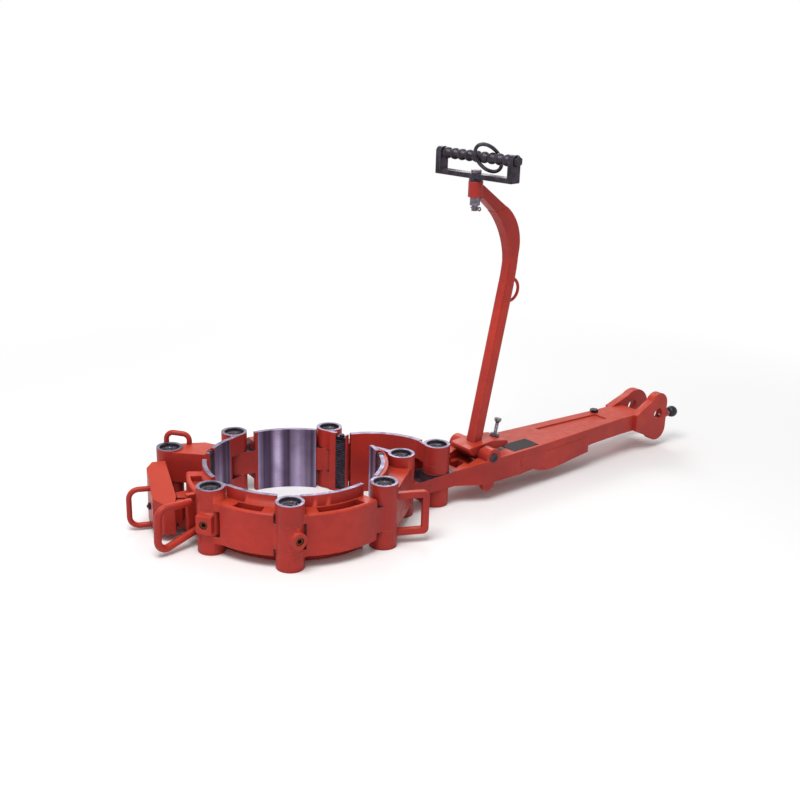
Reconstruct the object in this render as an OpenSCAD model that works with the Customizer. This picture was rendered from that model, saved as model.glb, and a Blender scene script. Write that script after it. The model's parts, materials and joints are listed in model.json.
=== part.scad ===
/* [Pipe bore] */
// Diameter of the pipe that the closed jaws hold
bore_d = 432; // [420:1:440]
// Thickness of the bare liner wall round the bore
wall_t = 11; // [9:0.5:12]
// Height of the liner wall, the bosses and the dies' rows
jaw_h = 165; // [160:1:172]

/* [Jaw section] */
// Outer radius of the jaws' bodies
body_r = 268; // [262:1:272]
// Height at which the jaws' bodies start
body_lo = 29; // [26:1:32]
// Height at which the jaws' bodies end
body_hi = 136; // [132:1:140]
// Depth of the lightening pockets above and below
pocket_d = 16; // [6:1:24]
// Thickness of the rib outside a pocket
rib_t = 11; // [8:1:14]

/* [Hinges] */
// Radius of the circle that the ring's hinge pins stand on
hinge_r = 256; // [255:0.5:258]
// Outer radius of a hinge boss
boss_r = 34; // [32:0.5:35]
// Radius of a hinge pin
pin_r = 22; // [18:0.5:23]
// Running clearance round a pin
pin_fit = 0.05; // [0.02:0.01:0.1]
// Height at which a middle knuckle starts
knuckle_lo = 50; // [46:1:54]
// Height at which a middle knuckle ends
knuckle_hi = 114; // [110:1:118]
// Gap between a middle knuckle and its fork
knuckle_gap = 0.3; // [0.2:0.1:0.6]
// Depth of a pin's top below the top of its boss
pin_drop = 12; // [10:0.5:14]
// Thickness of the shoulder that a pin stands on
pin_floor = 12; // [8:1:16]
// Thickness of a retaining ring
clip_t = 3; // [2:0.5:4]

/* [Latch] */
// Height at which the latch's knuckle starts
latch_lo = 20; // [16:1:24]
// Height at which the latch's knuckle ends
latch_hi = 80; // [76:1:84]
// Height of the top of the latch's arm
latch_top = 104; // [98:1:108]
// Distance from the latch's pin to the face of its hook
latch_len = 181; // [180:0.5:184]
// Play between the hook and the lug that it holds
latch_play = 8; // [8:0.5:10]
// Thickness of the latch's arm
latch_t = 58; // [50:1:60]

/* [Lever] */
// Distance of the lever's centre line from the bore's axis
lever_y = -117; // [-118:0.5:-116]
// Distance along the lever from the bore's axis to its end bore
lever_len = 1168; // [1150:1:1220]
// Half width of the lever at its widest place
lever_hw = 75; // [72:1:78]
// Half width of the lever at its end
lever_end_hw = 49; // [46:1:52]
// Radius of the cross bore in the end's two ears
eye_r = 18; // [15:0.5:22]
// Thickness of an ear
ear_t = 24; // [20:1:26]

/* [Hanger] */
// Distance of the hanger's pin from the bore's axis
hang_x = 499; // [495:1:503]
// Height of the hanger's pin
hang_z = 119; // [117:1:121]
// Radius of the hanger's pin
hang_pin_r = 12; // [10:0.5:14]
// Lean of the stem towards the lever's end
stem_lean = 11.5; // [10:0.05:15]
// Side of the stem's square section
stem_w = 31; // [28:1:36]
// Height of the underside of the hanger's head
head_z = 790; // [770:1:810]
// Height of the hanger's head
head_h = 38; // [34:1:42]
// Radius of the hanger's head
head_r = 18; // [16:0.5:20]
// Radius of the swivel bolt
swivel_r = 8; // [7:0.5:9]

/* [Bail] */
// Length of the bail over its two cheeks
bail_len = 252; // [240:1:262]
// Height of the bail's frame
bail_h = 67; // [64:1:72]
// Depth of the bail's frame from front to back
bail_t = 30; // [24:1:34]
// Turn of the bail about the swivel bolt
bail_turn = -86; // [-90:1:-60]

/* [Handles] */
// Diameter of the latch handle's bar
latch_bar_d = 14; // [12:0.5:16]
// Diameter of the lug jaw handle's bar
lug_bar_d = 19; // [16:0.5:20]
// Diameter of the lifting loop's bar
loop_bar_d = 14; // [12:0.5:16]

/* [Hidden] */
$fn = 64;

paint = "#b5342c";
bare_steel = "#5a5560";
black_steel = "#2a2630";
bright_steel = "#c9cbd0";

function polar(r, a) = [r * cos(a), r * sin(a)];
function flat(p) = [p[0], p[1], 0];

bore_r = bore_d / 2;
wall_r = bore_r + wall_t;

// Azimuths of the ring's hinges, counted from the lever's direction
az_back = 94;
az_long = 34;
az_short = -67;
az_front = 234;
az_lug = 186;
az_latch = 130;
// Angle between a hinge and the body of the jaw beside it
hinge_space = 10;

pin_back = polar(hinge_r, az_back);
pin_long = polar(hinge_r, az_long);
pin_short = polar(hinge_r, az_short);
pin_front = polar(hinge_r, az_front);
pin_lug = polar(hinge_r, az_lug);
pin_latch = polar(body_r + 62, az_latch);
pin_lever_short = [248.5, lever_y];
pin_lever_long = [366, lever_y];

pin_bore_r = pin_r + pin_fit;
pin_top = jaw_h - pin_drop;
pin_mouth_r = pin_r + 2.5;
clip_groove_r = pin_mouth_r + 2;
boss_clear = boss_r + 2;
// How far a web or a rim lies below the faces beside it
web_step = 1;

// A ring sector about the bore's axis
module sector(ri, ro, z0, z1, a0, a1) {
    rotate([0, 0, a0])
        rotate_extrude(angle = a1 - a0, $fn = 96)
            translate([ri, z0]) square([ro - ri, z1 - z0]);
}

// A flat slab between two heights
module slab(z0, z1) {
    translate([0, 0, z0]) linear_extrude(z1 - z0) children();
}

// A boss round a hinge pin between two heights
module boss(p, z0, z1, r = boss_r) {
    translate([p[0], p[1], z0]) cylinder(r = r, h = z1 - z0);
}

// Plan of the web between a hinge boss and a jaw's body
function web_plan(pin_az, body_az) = [
    polar(hinge_r + boss_r - 3, pin_az),
    polar(body_r - 1, body_az),
    polar(wall_r - 4, body_az),
    polar(hinge_r - boss_r + 3, pin_az)];

// Plan of the thin wall that runs from the liner into a boss
function rim_plan(pin_az, wall_az) = [
    polar(hinge_r - 8, pin_az),
    polar(wall_r - 1, wall_az),
    polar(bore_r + 1, wall_az),
    polar(hinge_r - boss_r + 0.5, pin_az)];

// Bore of a pin that drops in from above onto a shoulder
module blind_pin_bore(p) {
    boss(p, pin_floor, jaw_h + 1, pin_bore_r);
    boss(p, pin_top, jaw_h + 1, pin_mouth_r);
    boss(p, pin_top, pin_top + clip_t + 0.4, clip_groove_r);
    boss(p, -1, pin_floor + 1, pin_r * 0.6);
}

// Upper and lower bosses of a hinge, with the webs to the jaw's body
module ring_fork(pin_az, body_az, wall_az) {
    p = polar(hinge_r, pin_az);
    lo = knuckle_lo - knuckle_gap;
    hi = knuckle_hi + knuckle_gap;
    boss(p, 0, lo);
    boss(p, hi, jaw_h);
    slab(body_lo + web_step, lo) polygon(web_plan(pin_az, body_az));
    slab(hi, body_hi - web_step) polygon(web_plan(pin_az, body_az));
    slab(web_step, lo) polygon(rim_plan(pin_az, wall_az));
    slab(hi, jaw_h - web_step) polygon(rim_plan(pin_az, wall_az));
}

// Middle boss of a hinge, with the web to the jaw's body
module ring_tongue(pin_az, body_az, wall_az) {
    boss(polar(hinge_r, pin_az), knuckle_lo, knuckle_hi);
    slab(knuckle_lo, knuckle_hi) polygon(web_plan(pin_az, body_az));
    slab(knuckle_lo, knuckle_hi) polygon(rim_plan(pin_az, wall_az));
}

// Section of a jaw's body, with its outer edges eased
module body_section(ro = body_r, z0 = body_lo, z1 = body_hi) {
    ease = 4;
    polygon([[wall_r - 2, z0], [ro - ease, z0], [ro, z0 + ease],
        [ro, z1 - ease], [ro - ease, z1], [wall_r - 2, z1]]);
}

// Liner wall and ribbed body of one jaw
module jaw_body(a0, a1, w0, w1) {
    sector(bore_r, wall_r, 0, jaw_h, w0, w1);
    difference() {
        rotate([0, 0, a0])
            rotate_extrude(angle = a1 - a0, $fn = 96) body_section();
        sector(wall_r + 3, body_r - rib_t, body_hi - pocket_d, body_hi + 1,
            a0 + 7, a1 - 7);
        sector(wall_r + 3, body_r - rib_t, body_lo - 1, body_lo + pocket_d,
            a0 + 7, a1 - 7);
    }
}

// Back jaw, between the long jaw and the carrier jaw
module back_jaw() {
    a0 = az_long + hinge_space;
    a1 = az_back - hinge_space;
    color(paint) difference() {
        union() {
            jaw_body(a0, a1, az_long + 6, az_back - hinge_space);
            ring_tongue(az_long, a0 + 1, a0 + 1);
            ring_tongue(az_back, a1 - 1, a1 - 1);
        }
        boss(pin_long, 0, jaw_h, pin_bore_r);
        boss(pin_back, 0, jaw_h, pin_bore_r);
        boss(pin_long, -1, knuckle_lo, boss_clear);
        boss(pin_long, knuckle_hi, jaw_h + 1, boss_clear);
    }
}

// Front inner jaw, between the short jaw and the front outer jaw
module front_inner_jaw() {
    a0 = az_front + hinge_space - 4;
    a1 = 360 + az_short - hinge_space;
    color(paint) difference() {
        union() {
            jaw_body(a0 + 2, a1, a0, a1);
            ring_fork(az_front, a0 + 3, a0 + 1);
            ring_tongue(az_short + 360, a1 - 1, a1 - 1);
        }
        blind_pin_bore(pin_front);
        boss(pin_short, 0, jaw_h, pin_bore_r);
        boss(pin_front, knuckle_lo - 0.3, knuckle_hi + 0.3, boss_clear);
    }
}

// Front outer jaw, between the front inner jaw and the lug jaw
module front_outer_jaw() {
    a0 = az_lug + 5.5;
    a1 = az_front - hinge_space + 2;
    color(paint) difference() {
        union() {
            jaw_body(a0 + 4, a1, a0, a1);
            ring_fork(az_lug, a0 + 5, a0 + 1);
            ring_tongue(az_front, a1 - 1, a1 - 1);
            plug_boss();
        }
        blind_pin_bore(pin_lug);
        boss(pin_front, 0, jaw_h, pin_bore_r);
        boss(pin_lug, knuckle_lo - 0.3, knuckle_hi + 0.3, boss_clear);
        boss(pin_front, -1, knuckle_lo, boss_clear);
        boss(pin_front, knuckle_hi, jaw_h + 1, boss_clear);
        plug_hole(az_front, plug_side);
    }
}

// Boss of the threaded plug that keeps a pin in its tongue
plug_r = 11;
plug_z = (knuckle_lo + knuckle_hi) / 2;
plug_side = 32;
plug_boss_r = 20;
plug_out = boss_r + 12;
module at_plug(pin_az, side) {
    translate([hinge_r * cos(pin_az), hinge_r * sin(pin_az), plug_z])
        rotate([0, 0, pin_az + side]) rotate([0, 90, 0]) children();
}
module plug_boss() {
    at_plug(az_front, plug_side) translate([0, 0, pin_r + 4])
        cylinder(r = plug_boss_r, h = plug_out - pin_r - 4);
}
module plug_hole(pin_az, side) {
    at_plug(pin_az, side) translate([0, 0, pin_r - 3])
        cylinder(r = plug_r, h = plug_out + 30);
}
module pin_plug(pin_az, side) {
    socket = 9;
    color(bare_steel) at_plug(pin_az, side) difference() {
        translate([0, 0, pin_r + 0.4])
            cylinder(r = plug_r - 0.1, h = plug_out - pin_r - 3);
        translate([-socket / 2, -socket / 2, plug_out - 10])
            cube([socket, socket, 10]);
    }
}
module front_pin_plug() { pin_plug(az_front, plug_side); }
module lug_pin_plug() { pin_plug(az_lug, lug_plug_side); }

// Lug jaw, whose outer lug the latch's hook holds
lug_plug_side = 30;
lug_x0 = 138;
lug_face = latch_len - latch_play;
lug_lean = 4;
lug_out = -6;
latch_az = 248.8;
// The latch's own frame: its pin at the origin, X towards its hook
module at_latch() {
    translate(flat(pin_latch)) rotate([0, 0, latch_az]) children();
}
module lug_jaw() {
    a0 = 145;
    a1 = az_lug - hinge_space;
    color(paint) difference() {
        union() {
            jaw_body(a0 + 2, a1, a0, a1);
            ring_tongue(az_lug, a1 - 1, a1 - 1);
            sector(wall_r + 9, body_r + 22, 34, 130, 172, 175);
            at_latch() slab(12, 96) polygon([[lug_x0, lug_out],
                [lug_face - lug_lean, lug_out], [lug_face + 2, 34],
                [lug_x0 - 14, 34]]);
            at_plug(az_lug, lug_plug_side) translate([0, 0, pin_r + 4])
                translate([-22, -20, 0]) cube([44, 40, plug_out - pin_r - 4]);
        }
        boss(pin_lug, 0, jaw_h, pin_bore_r);
        boss(pin_lug, -1, knuckle_lo, boss_clear);
        boss(pin_lug, knuckle_hi, jaw_h + 1, boss_clear);
        plug_hole(az_lug, lug_plug_side);
        lug_handle_sockets();
    }
}

// Carrier jaw, which carries the latch's pin outside the ring
latch_gap = 0.4;
module carrier_jaw() {
    a0 = az_back + hinge_space;
    a1 = 135;
    hi = latch_hi + latch_gap;
    lo = latch_lo - latch_gap;
    block = [polar(wall_r - 2, a1), pin_latch + polar(boss_r - 2, a1 + 80),
        pin_latch + polar(boss_r - 2, a1 - 100), polar(body_r - 4, a1 - 19),
        polar(wall_r - 2, a1 - 19)];
    color(paint) difference() {
        union() {
            jaw_body(a0, a1 - 1, a0, a1);
            ring_fork(az_back, a0 + 1, a0 + 1);
            boss(pin_latch, hi, jaw_h);
            boss(pin_latch, 0, lo);
            slab(hi, jaw_h - 4) polygon(block);
            slab(0, lo) polygon(block);
        }
        blind_pin_bore(pin_back);
        blind_pin_bore(pin_latch);
        boss(pin_back, knuckle_lo - 0.3, knuckle_hi + 0.3, boss_clear);
        boss(pin_latch, lo, hi, boss_clear);
        die_slot(carrier_die_az);
        loop_sockets();
    }
}

// Latch, a heavy arm that swings out about its pin
hook_in = 8;
hook_len = 30;
arm_in = -9;
spring_r = 27.5;
spring_h = 14;
module latch() {
    color(paint) difference() {
        union() {
            boss(pin_latch, latch_lo, latch_hi);
            at_latch() {
                slab(latch_lo, latch_hi)
                    polygon([[0, -boss_r + 2], [60, arm_in - latch_t + 10],
                        [60, arm_in], [0, boss_r - 10]]);
                slab(2, latch_top) latch_arm();
                slab(12, latch_top - 8) latch_hook();
            }
        }
        boss(pin_latch, 0, jaw_h, pin_bore_r);
        boss(pin_latch, latch_hi - spring_h, latch_hi + 1, spring_r + 2.5);
        at_latch() latch_handle_holes();
    }
}
module latch_arm() {
    polygon([[44, arm_in - 8], [44, arm_in - latch_t + 16],
        [66, arm_in - latch_t], [latch_len + 6, arm_in - latch_t],
        [latch_len + hook_len, arm_in - latch_t + 24],
        [latch_len + hook_len, arm_in - 6], [latch_len + 2, arm_in]]);
}
module latch_hook() {
    polygon([[latch_len, arm_in - 10], [latch_len + hook_len, arm_in - 10],
        [latch_len + hook_len - 4, hook_in - 8],
        [latch_len + hook_len - 14, hook_in], [latch_len, hook_in]]);
}

// Torsion spring that holds the latch shut
module latch_spring() {
    turns = 2.5;
    wire = 3.6;
    steps = 20;
    color(bare_steel) translate([pin_latch[0], pin_latch[1],
        latch_hi - spring_h + wire / 2 + 0.4])
        helix_tube(spring_r - wire / 2, wire, turns,
            (spring_h - wire - 1) / turns, steps);
}

// A tube swept along a helix
module helix_tube(r, wire, turns, pitch, steps) {
    sides = 8;
    n = round(turns * steps);
    path = [for (i = [0:n]) let(a = 360 * i / steps)
        [r * cos(a), r * sin(a), pitch * i / steps]];
    rings = [for (i = [0:n]) let(a = 360 * i / steps)
        [for (k = [0:sides - 1]) let(b = -360 * k / sides)
            path[i] + [cos(b) * cos(a), cos(b) * sin(a), sin(b)] * wire / 2]];
    tube_mesh(rings, sides);
}

// A closed skin over a row of equal rings
module tube_mesh(rings, sides) {
    n = len(rings) - 1;
    polyhedron(
        [for (ring = rings) each ring],
        concat([[for (k = [0:sides - 1]) k]],
            [[for (k = [sides - 1:-1:0]) n * sides + k]],
            [for (i = [0:n - 1], k = [0:sides - 1])
                let(a = i * sides + k, b = i * sides + (k + 1) % sides)
                [b, a, a + sides, b + sides]]));
}

// Bolt head that stands out of the latch's outer face
module latch_bolt() {
    color(black_steel) at_latch()
        translate([128, arm_in - latch_t, 62]) rotate([90, 0, 0]) {
            cylinder(r = 9, h = 6, $fn = 6);
            cylinder(r = 4, h = 9);
        }
}

// Long jaw, from the lever to the back jaw, bulging round the mouth
arm_o = [175, -99];
arm_ri = 166.5;
arm_ro = 181;
arm_body_ro = 206;
module arm_sector(ri, ro, z0, z1, a0, a1) {
    translate(flat(arm_o)) sector(ri, ro, z0, z1, a0, a1);
}
module long_jaw() {
    lo = knuckle_lo - knuckle_gap;
    hi = knuckle_hi + knuckle_gap;
    a1 = az_long - hinge_space + 4;
    d = pin_lever_long;
    toe = polar(arm_ri + 1.5, 10) + arm_o;
    heel = polar(arm_body_ro - 6, 14) + arm_o;
    color(paint) difference() {
        union() {
            sector(bore_r, wall_r, 0, jaw_h, long_die_az - 5, a1 + 2);
            sector(wall_r - 2, body_r, body_lo, body_hi, long_die_az - 4, a1);
            ring_fork(az_long, a1 - 1, a1 + 1);
            arm_sector(arm_ri, arm_ro, 0, jaw_h, 8, 73);
            arm_sector(arm_ro - 2, arm_body_ro, body_lo + web_step,
                body_hi - web_step, 8, 74);
            boss(d, 0, jaw_h);
            slab(web_step, jaw_h - web_step) polygon([toe, toe + [11, 0],
                d + polar(boss_r - 1, 150), d + polar(boss_r - 0.5, 178)]);
            slab(body_lo + 2 * web_step, body_hi - 2 * web_step)
                polygon([toe + [10, 2], heel,
                d + polar(boss_r - 1, 40), d + polar(boss_r - 2, 170)]);
        }
        slab(lo, hi) polygon([[d[0] - 60, d[1] - 50], [d[0] + 60, d[1] - 50],
            [d[0] + 60, heel[1] - 6], [d[0] - 60, toe[1] + 14]]);
        blind_pin_bore(pin_long);
        blind_pin_bore(d);
        boss(pin_long, knuckle_lo - 0.3, knuckle_hi + 0.3, boss_clear);
        die_slot(long_die_az);
    }
}

// Short jaw, from the lever to the front inner jaw
short_tip_az = -8;
short_plan_out = 30;
module short_jaw() {
    lo = knuckle_lo - knuckle_gap;
    hi = knuckle_hi + knuckle_gap;
    e = pin_lever_short;
    f = pin_short;
    w0 = az_short + 5;
    tip = polar(wall_r - 2, short_tip_az - 1);
    body = [polar(bore_r + 3, w0 + 7), polar(bore_r + 3, -49),
        polar(bore_r + 3, -35), polar(bore_r + 3, -21),
        polar(bore_r + 3, short_tip_az - 2), e + polar(boss_r - 2, 80),
        e + polar(boss_r - 2, -40), f + polar(boss_r - 2, -20),
        f + polar(boss_r - 2, 60)];
    color(paint) difference() {
        union() {
            sector(bore_r, wall_r, 0, jaw_h, w0, short_tip_az);
            sector(wall_r - 2, wall_r + 8, 2 * web_step, jaw_h - 2 * web_step,
                w0 + 1, short_tip_az - 6);
            slab(body_lo, body_hi) polygon(body);
            for (z = [[0, lo], [hi, jaw_h]]) {
                boss(e, z[0], z[1]);
                boss(f, z[0], z[1]);
                slab(z[0] + web_step, z[1] - web_step) {
                    polygon([tip, tip + polar(9, -100),
                        e + polar(boss_r - 8, 150), e + polar(boss_r - 1, 100)]);
                    polygon(rim_plan(az_short, w0 + 1));
                }
            }
        }
        blind_pin_bore(e);
        blind_pin_bore(f);
        boss(e, lo, hi, boss_clear);
        boss(f, lo, hi, boss_clear);
        die_slot(short_die_az);
        side_handle_shape(0.1);
    }
}

// Toothed dies, each in a slot of its jaw's liner wall
long_die_az = 21;
carrier_die_az = 129;
short_die_az = -22;
die_w = 30;
die_t = 15;
die_z0 = 8;
die_fit = 0.1;
die_z1 = jaw_h - 8;
module at_die(az) {
    rotate([0, 0, az]) translate([bore_r, 0, 0]) children();
}
module die_slot(az) {
    at_die(az) translate([-4, -die_w / 2 - die_fit, die_z0])
        cube([die_t + 4 + die_fit, die_w + 2 * die_fit, jaw_h]);
}
module die(az) {
    tooth = 3;
    rows = floor((die_z1 - die_z0) / (2 * tooth));
    color(bare_steel) difference() {
        intersection() {
            at_die(az) translate([-4, -die_w / 2, die_z0 + die_fit])
                cube([die_t + 4, die_w, die_z1 - die_z0]);
            sector(bore_r, bore_r + 40, 0, jaw_h, az - 10, az + 10);
        }
        for (i = [1:rows - 1])
            translate([0, 0, die_z0 + 2 * tooth * i])
                rotate([0, 0, az - 6]) rotate_extrude(angle = 12, $fn = 96)
                    polygon([[bore_r - 1, -tooth / 2], [bore_r + 1.6, 0],
                        [bore_r - 1, tooth / 2]]);
    }
}
module long_jaw_die() { die(long_die_az); }
module carrier_jaw_die() { die(carrier_die_az); }
module short_jaw_die() { die(short_die_az); }

// Two bolts on top of each die, whose heads keep it in its slot
module die_bolts(az) {
    color(black_steel) at_die(az)
        translate([die_t / 2, 0, die_z1 + die_fit]) {
            cylinder(r = 6.5, h = 5, $fn = 6);
            cylinder(r = 4, h = 6.5);
        }
}
module long_jaw_die_bolts() { die_bolts(long_die_az); }
module carrier_jaw_die_bolts() { die_bolts(carrier_die_az); }
module short_jaw_die_bolts() { die_bolts(short_die_az); }

// Hinge pin with a threaded eye hole in its top
module hinge_pin(p) {
    ease = 2;
    color(bare_steel) translate(flat(p)) difference() {
        rotate_extrude() polygon([[0, pin_floor], [pin_r - ease, pin_floor],
            [pin_r, pin_floor + ease], [pin_r, pin_top - ease],
            [pin_r - ease, pin_top], [0, pin_top]]);
        translate([0, 0, pin_top - 20]) cylinder(r = 8, h = 21);
    }
}
module long_jaw_pins() {
    hinge_pin(pin_long);
    hinge_pin(pin_lever_long);
}
module carrier_jaw_pins() {
    hinge_pin(pin_back);
    hinge_pin(pin_latch);
}
module short_jaw_pins() {
    hinge_pin(pin_short);
    hinge_pin(pin_lever_short);
}
module front_inner_pin() { hinge_pin(pin_front); }
module front_outer_pin() { hinge_pin(pin_lug); }

// Spring retaining ring that snaps into the groove above a pin
module retaining_ring(p) {
    color(black_steel) translate([p[0], p[1], pin_top + 0.2])
        difference() {
            cylinder(r = clip_groove_r - 0.2, h = clip_t);
            translate([0, 0, -1]) cylinder(r = pin_r - 4, h = clip_t + 2);
            translate([0, -3, -1]) cube([clip_groove_r, 6, clip_t + 2]);
        }
}
module long_jaw_clips() {
    retaining_ring(pin_long);
    retaining_ring(pin_lever_long);
}
module carrier_jaw_clips() {
    retaining_ring(pin_back);
    retaining_ring(pin_latch);
}
module short_jaw_clips() {
    retaining_ring(pin_short);
    retaining_ring(pin_lever_short);
}
module front_inner_clip() { retaining_ring(pin_front); }
module front_outer_clip() { retaining_ring(pin_lug); }

// Lever
neck_hw = 37;
pocket_x0 = 412;
pocket_x1 = 468;
beam_lo = 48;
beam_end_lo = 66;
slot_x0 = 440;
slot_x1 = 548;
slot_hw = 40;
cheek_r = 24;
ear_z = 100;
ear_root = 93;
near_ear_r = 36;
near_ear_z = [58, 129];
far_ear_r = 56;
far_ear_x = 12;
far_ear_z = 92;
beam_end_x = lever_len - 72;
taper_x = lever_len - 150;
cavity_x1 = lever_len - 180;
module lever_plan(hw_add = 0) {
    hw = lever_hw + hw_add;
    polygon([[248.5, -neck_hw + 3], [400, -neck_hw - hw_add],
        [470, -hw], [660, -hw + 4], [taper_x, -lever_end_hw - hw_add],
        [beam_end_x + 30, -lever_end_hw - hw_add],
        [beam_end_x + 30, lever_end_hw + hw_add],
        [taper_x, lever_end_hw + hw_add], [660, hw - 4], [470, hw],
        [400, neck_hw + hw_add], [248.5, neck_hw - 3]]);
}
module lever_side() {
    rotate([90, 0, 0]) translate([0, 0, -120]) linear_extrude(240)
        polygon([[200, knuckle_lo], [420, knuckle_lo], [600, beam_lo],
            [900, beam_end_lo], [lever_len, beam_end_lo],
            [lever_len, knuckle_hi], [470, knuckle_hi],
            [400, knuckle_hi - 22], [280, knuckle_hi - 26],
            [200, knuckle_hi - 26]]);
}
// Plate at one side of the lever's end: a tall near one, a round far one
module near_ear() {
    translate([lever_len, -(lever_end_hw - 1) - ear_t / 2, 0])
        rotate([-90, 0, 0]) {
            for (z = near_ear_z) translate([0, -z, 0])
                cylinder(r = near_ear_r, h = ear_t);
            translate([-near_ear_r, -near_ear_z[1], 0])
                cube([2 * near_ear_r, near_ear_z[1] - near_ear_z[0], ear_t]);
            linear_extrude(ear_t) polygon([[-ear_root, -knuckle_hi],
                [-20, -near_ear_z[1] - 22], [-20, -near_ear_z[0] + 26],
                [-ear_root, -beam_end_lo]]);
        }
}
module far_ear() {
    translate([lever_len, lever_end_hw - 1 - ear_t / 2, 0])
        rotate([-90, 0, 0]) {
            translate([far_ear_x, -far_ear_z, 0])
                cylinder(r = far_ear_r, h = ear_t);
            linear_extrude(ear_t) polygon([[-ear_root, -knuckle_hi],
                [far_ear_x - 20, -far_ear_z - far_ear_r + 6],
                [far_ear_x - 20, -far_ear_z + far_ear_r - 6],
                [-ear_root, -beam_end_lo]]);
        }
}
module lever() {
    color(paint) difference() {
        translate([0, lever_y, 0]) union() {
            boss([248.5, 0], knuckle_lo, knuckle_hi);
            boss([366, 0], knuckle_lo, knuckle_hi);
            intersection() {
                slab(0, 200) lever_plan();
                lever_side();
            }
            near_ear();
            far_ear();
            for (side = [-1, 1])
                translate([hang_x, side * (lever_hw - 18.5) - 17.5, hang_z])
                    rotate([-90, 0, 0]) cylinder(r = cheek_r, h = 35);
            down_flange();
            under_lug();
            pin_lock_boss();
        }
        boss(pin_lever_short, 0, jaw_h, pin_bore_r);
        boss(pin_lever_long, 0, jaw_h, pin_bore_r);
        translate([0, lever_y, 0]) lever_cuts();
        nameplate_seat();
    }
}
module lever_cuts() {
    // Pocket between the neck's boss and the hanger
    translate([pocket_x0, -26, knuckle_lo + 12])
        cube([pocket_x1 - pocket_x0, 52, 80]);
    // Slot that the hanger's foot tilts in
    translate([slot_x0, -slot_hw, 88]) cube([slot_x1 - slot_x0, 2 * slot_hw, 60]);
    translate([hang_x, -150, hang_z]) rotate([-90, 0, 0])
        cylinder(r = hang_pin_r + pin_fit, h = 300);
    // Shallow channel along the top
    slab(knuckle_hi - 4, knuckle_hi + 1) polygon([[760, -34],
        [cavity_x1, -22], [cavity_x1, 22], [760, 34]]);
    // Cavity underneath
    slab(0, knuckle_hi - 16) polygon([[620, -lever_hw + 24],
        [cavity_x1, -lever_end_hw + 14], [cavity_x1, lever_end_hw - 14],
        [620, lever_hw - 24]]);
    // Gap between the two ears, and the bore across them
    translate([beam_end_x + 22, -lever_end_hw + 1 + ear_t / 2, -10])
        cube([200, 2 * lever_end_hw - 2 - ear_t, 250]);
    translate([lever_len, -120, ear_z]) rotate([-90, 0, 0])
        cylinder(r = eye_r, h = 240);
    translate([pin_lock_x - 6, -lever_end_hw + 1, pin_lock_z])
        rotate([0, 90, 0]) cylinder(r = pin_lock_r + pin_fit, h = 80);
    translate([lever_bolt_x, lever_end_hw - 12, knuckle_hi - 20])
        cylinder(r = 6.1, h = 30);
}

// Plate that reaches down from the lever's near side, along its taper
flange_x0 = 600;
flange_x1 = 876;
flange_lean = 2.94;
module down_flange() {
    translate([flange_x0, -lever_hw + 0.2, 0]) rotate([0, 0, flange_lean])
        rotate([90, 0, 0]) translate([-flange_x0, 0, -16])
            linear_extrude(16) polygon([[flange_x0, 92], [flange_x0 + 4, 70],
                [626, 62], [650, 52], [674, 42.5], [698, 37], [722, 35],
                [748, 36], [flange_x1, 48], [flange_x1, 92]]);
}

// Small round lug under the lever's near side
module under_lug() {
    translate([490, -lever_hw + 14, 0]) rotate([90, 0, 0])
        translate([0, 0, -8]) {
            translate([0, knuckle_lo - 4, 0]) cylinder(r = 20, h = 16);
        }
}

// Nameplate, left blank, in a shallow seat in the lever's top
plate_x = 631;
plate_y = lever_y - 34;
plate_l = 92;
plate_w = 52;
plate_t = 2;
module nameplate_seat() {
    translate([plate_x - plate_l / 2 - 0.2, plate_y - plate_w / 2 - 0.2,
        knuckle_hi - 1.5]) cube([plate_l + 0.4, plate_w + 0.4, 5]);
}
module nameplate() {
    color(black_steel) translate([plate_x - plate_l / 2,
        plate_y - plate_w / 2, knuckle_hi - 1.5])
        cube([plate_l, plate_w, plate_t]);
}
module nameplate_rivets() {
    color(bright_steel) for (sx = [-1, 1], sy = [-1, 1])
        translate([plate_x + sx * (plate_l / 2 - 7),
            plate_y + sy * (plate_w / 2 - 7), knuckle_hi - 1.5 + plate_t])
            cylinder(r1 = 3, r2 = 1.6, h = 1.6, $fn = 24);
}

// Bolt in the lever's far edge
lever_bolt_x = lever_len - 168;
module lever_bolt() {
    color(black_steel) translate([lever_bolt_x,
        lever_y + lever_end_hw - 12, knuckle_hi - 20]) {
        cylinder(r = 6, h = 22);
        translate([0, 0, 20.2]) cylinder(r = 12, h = 8, $fn = 6);
    }
}

// Sliding lock for the pin in the lever's end
pin_lock_z = 92;
pin_lock_r = 6;
pin_lock_x = lever_len + eye_r + 1;
pin_lock_out = lever_len + near_ear_r + 14;
module pin_lock_boss() {
    translate([lever_len + 30, -lever_end_hw + 1, pin_lock_z])
        rotate([0, 90, 0]) cylinder(r = 11, h = pin_lock_out - lever_len - 31);
}
module at_pin_lock(x) {
    translate([x, lever_y - lever_end_hw + 1, pin_lock_z])
        rotate([0, 90, 0]) children();
}
module pin_lock() {
    color(black_steel) at_pin_lock(pin_lock_x)
        cylinder(r = pin_lock_r, h = pin_lock_out + 12 - pin_lock_x);
}
module pin_lock_knob() {
    color(black_steel) at_pin_lock(pin_lock_out + 10) difference() {
        translate([0, 0, 14.5]) sphere(r = 16.5);
        translate([0, 0, -5]) cylinder(r = pin_lock_r + 0.05, h = 7.1);
    }
}
module pin_lock_gland() {
    color(bare_steel) at_pin_lock(pin_lock_out - 1 + 0.3) difference() {
        cylinder(r = 10, h = 5, $fn = 6);
        translate([0, 0, -1]) cylinder(r = pin_lock_r + pin_fit, h = 8);
    }
}

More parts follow.
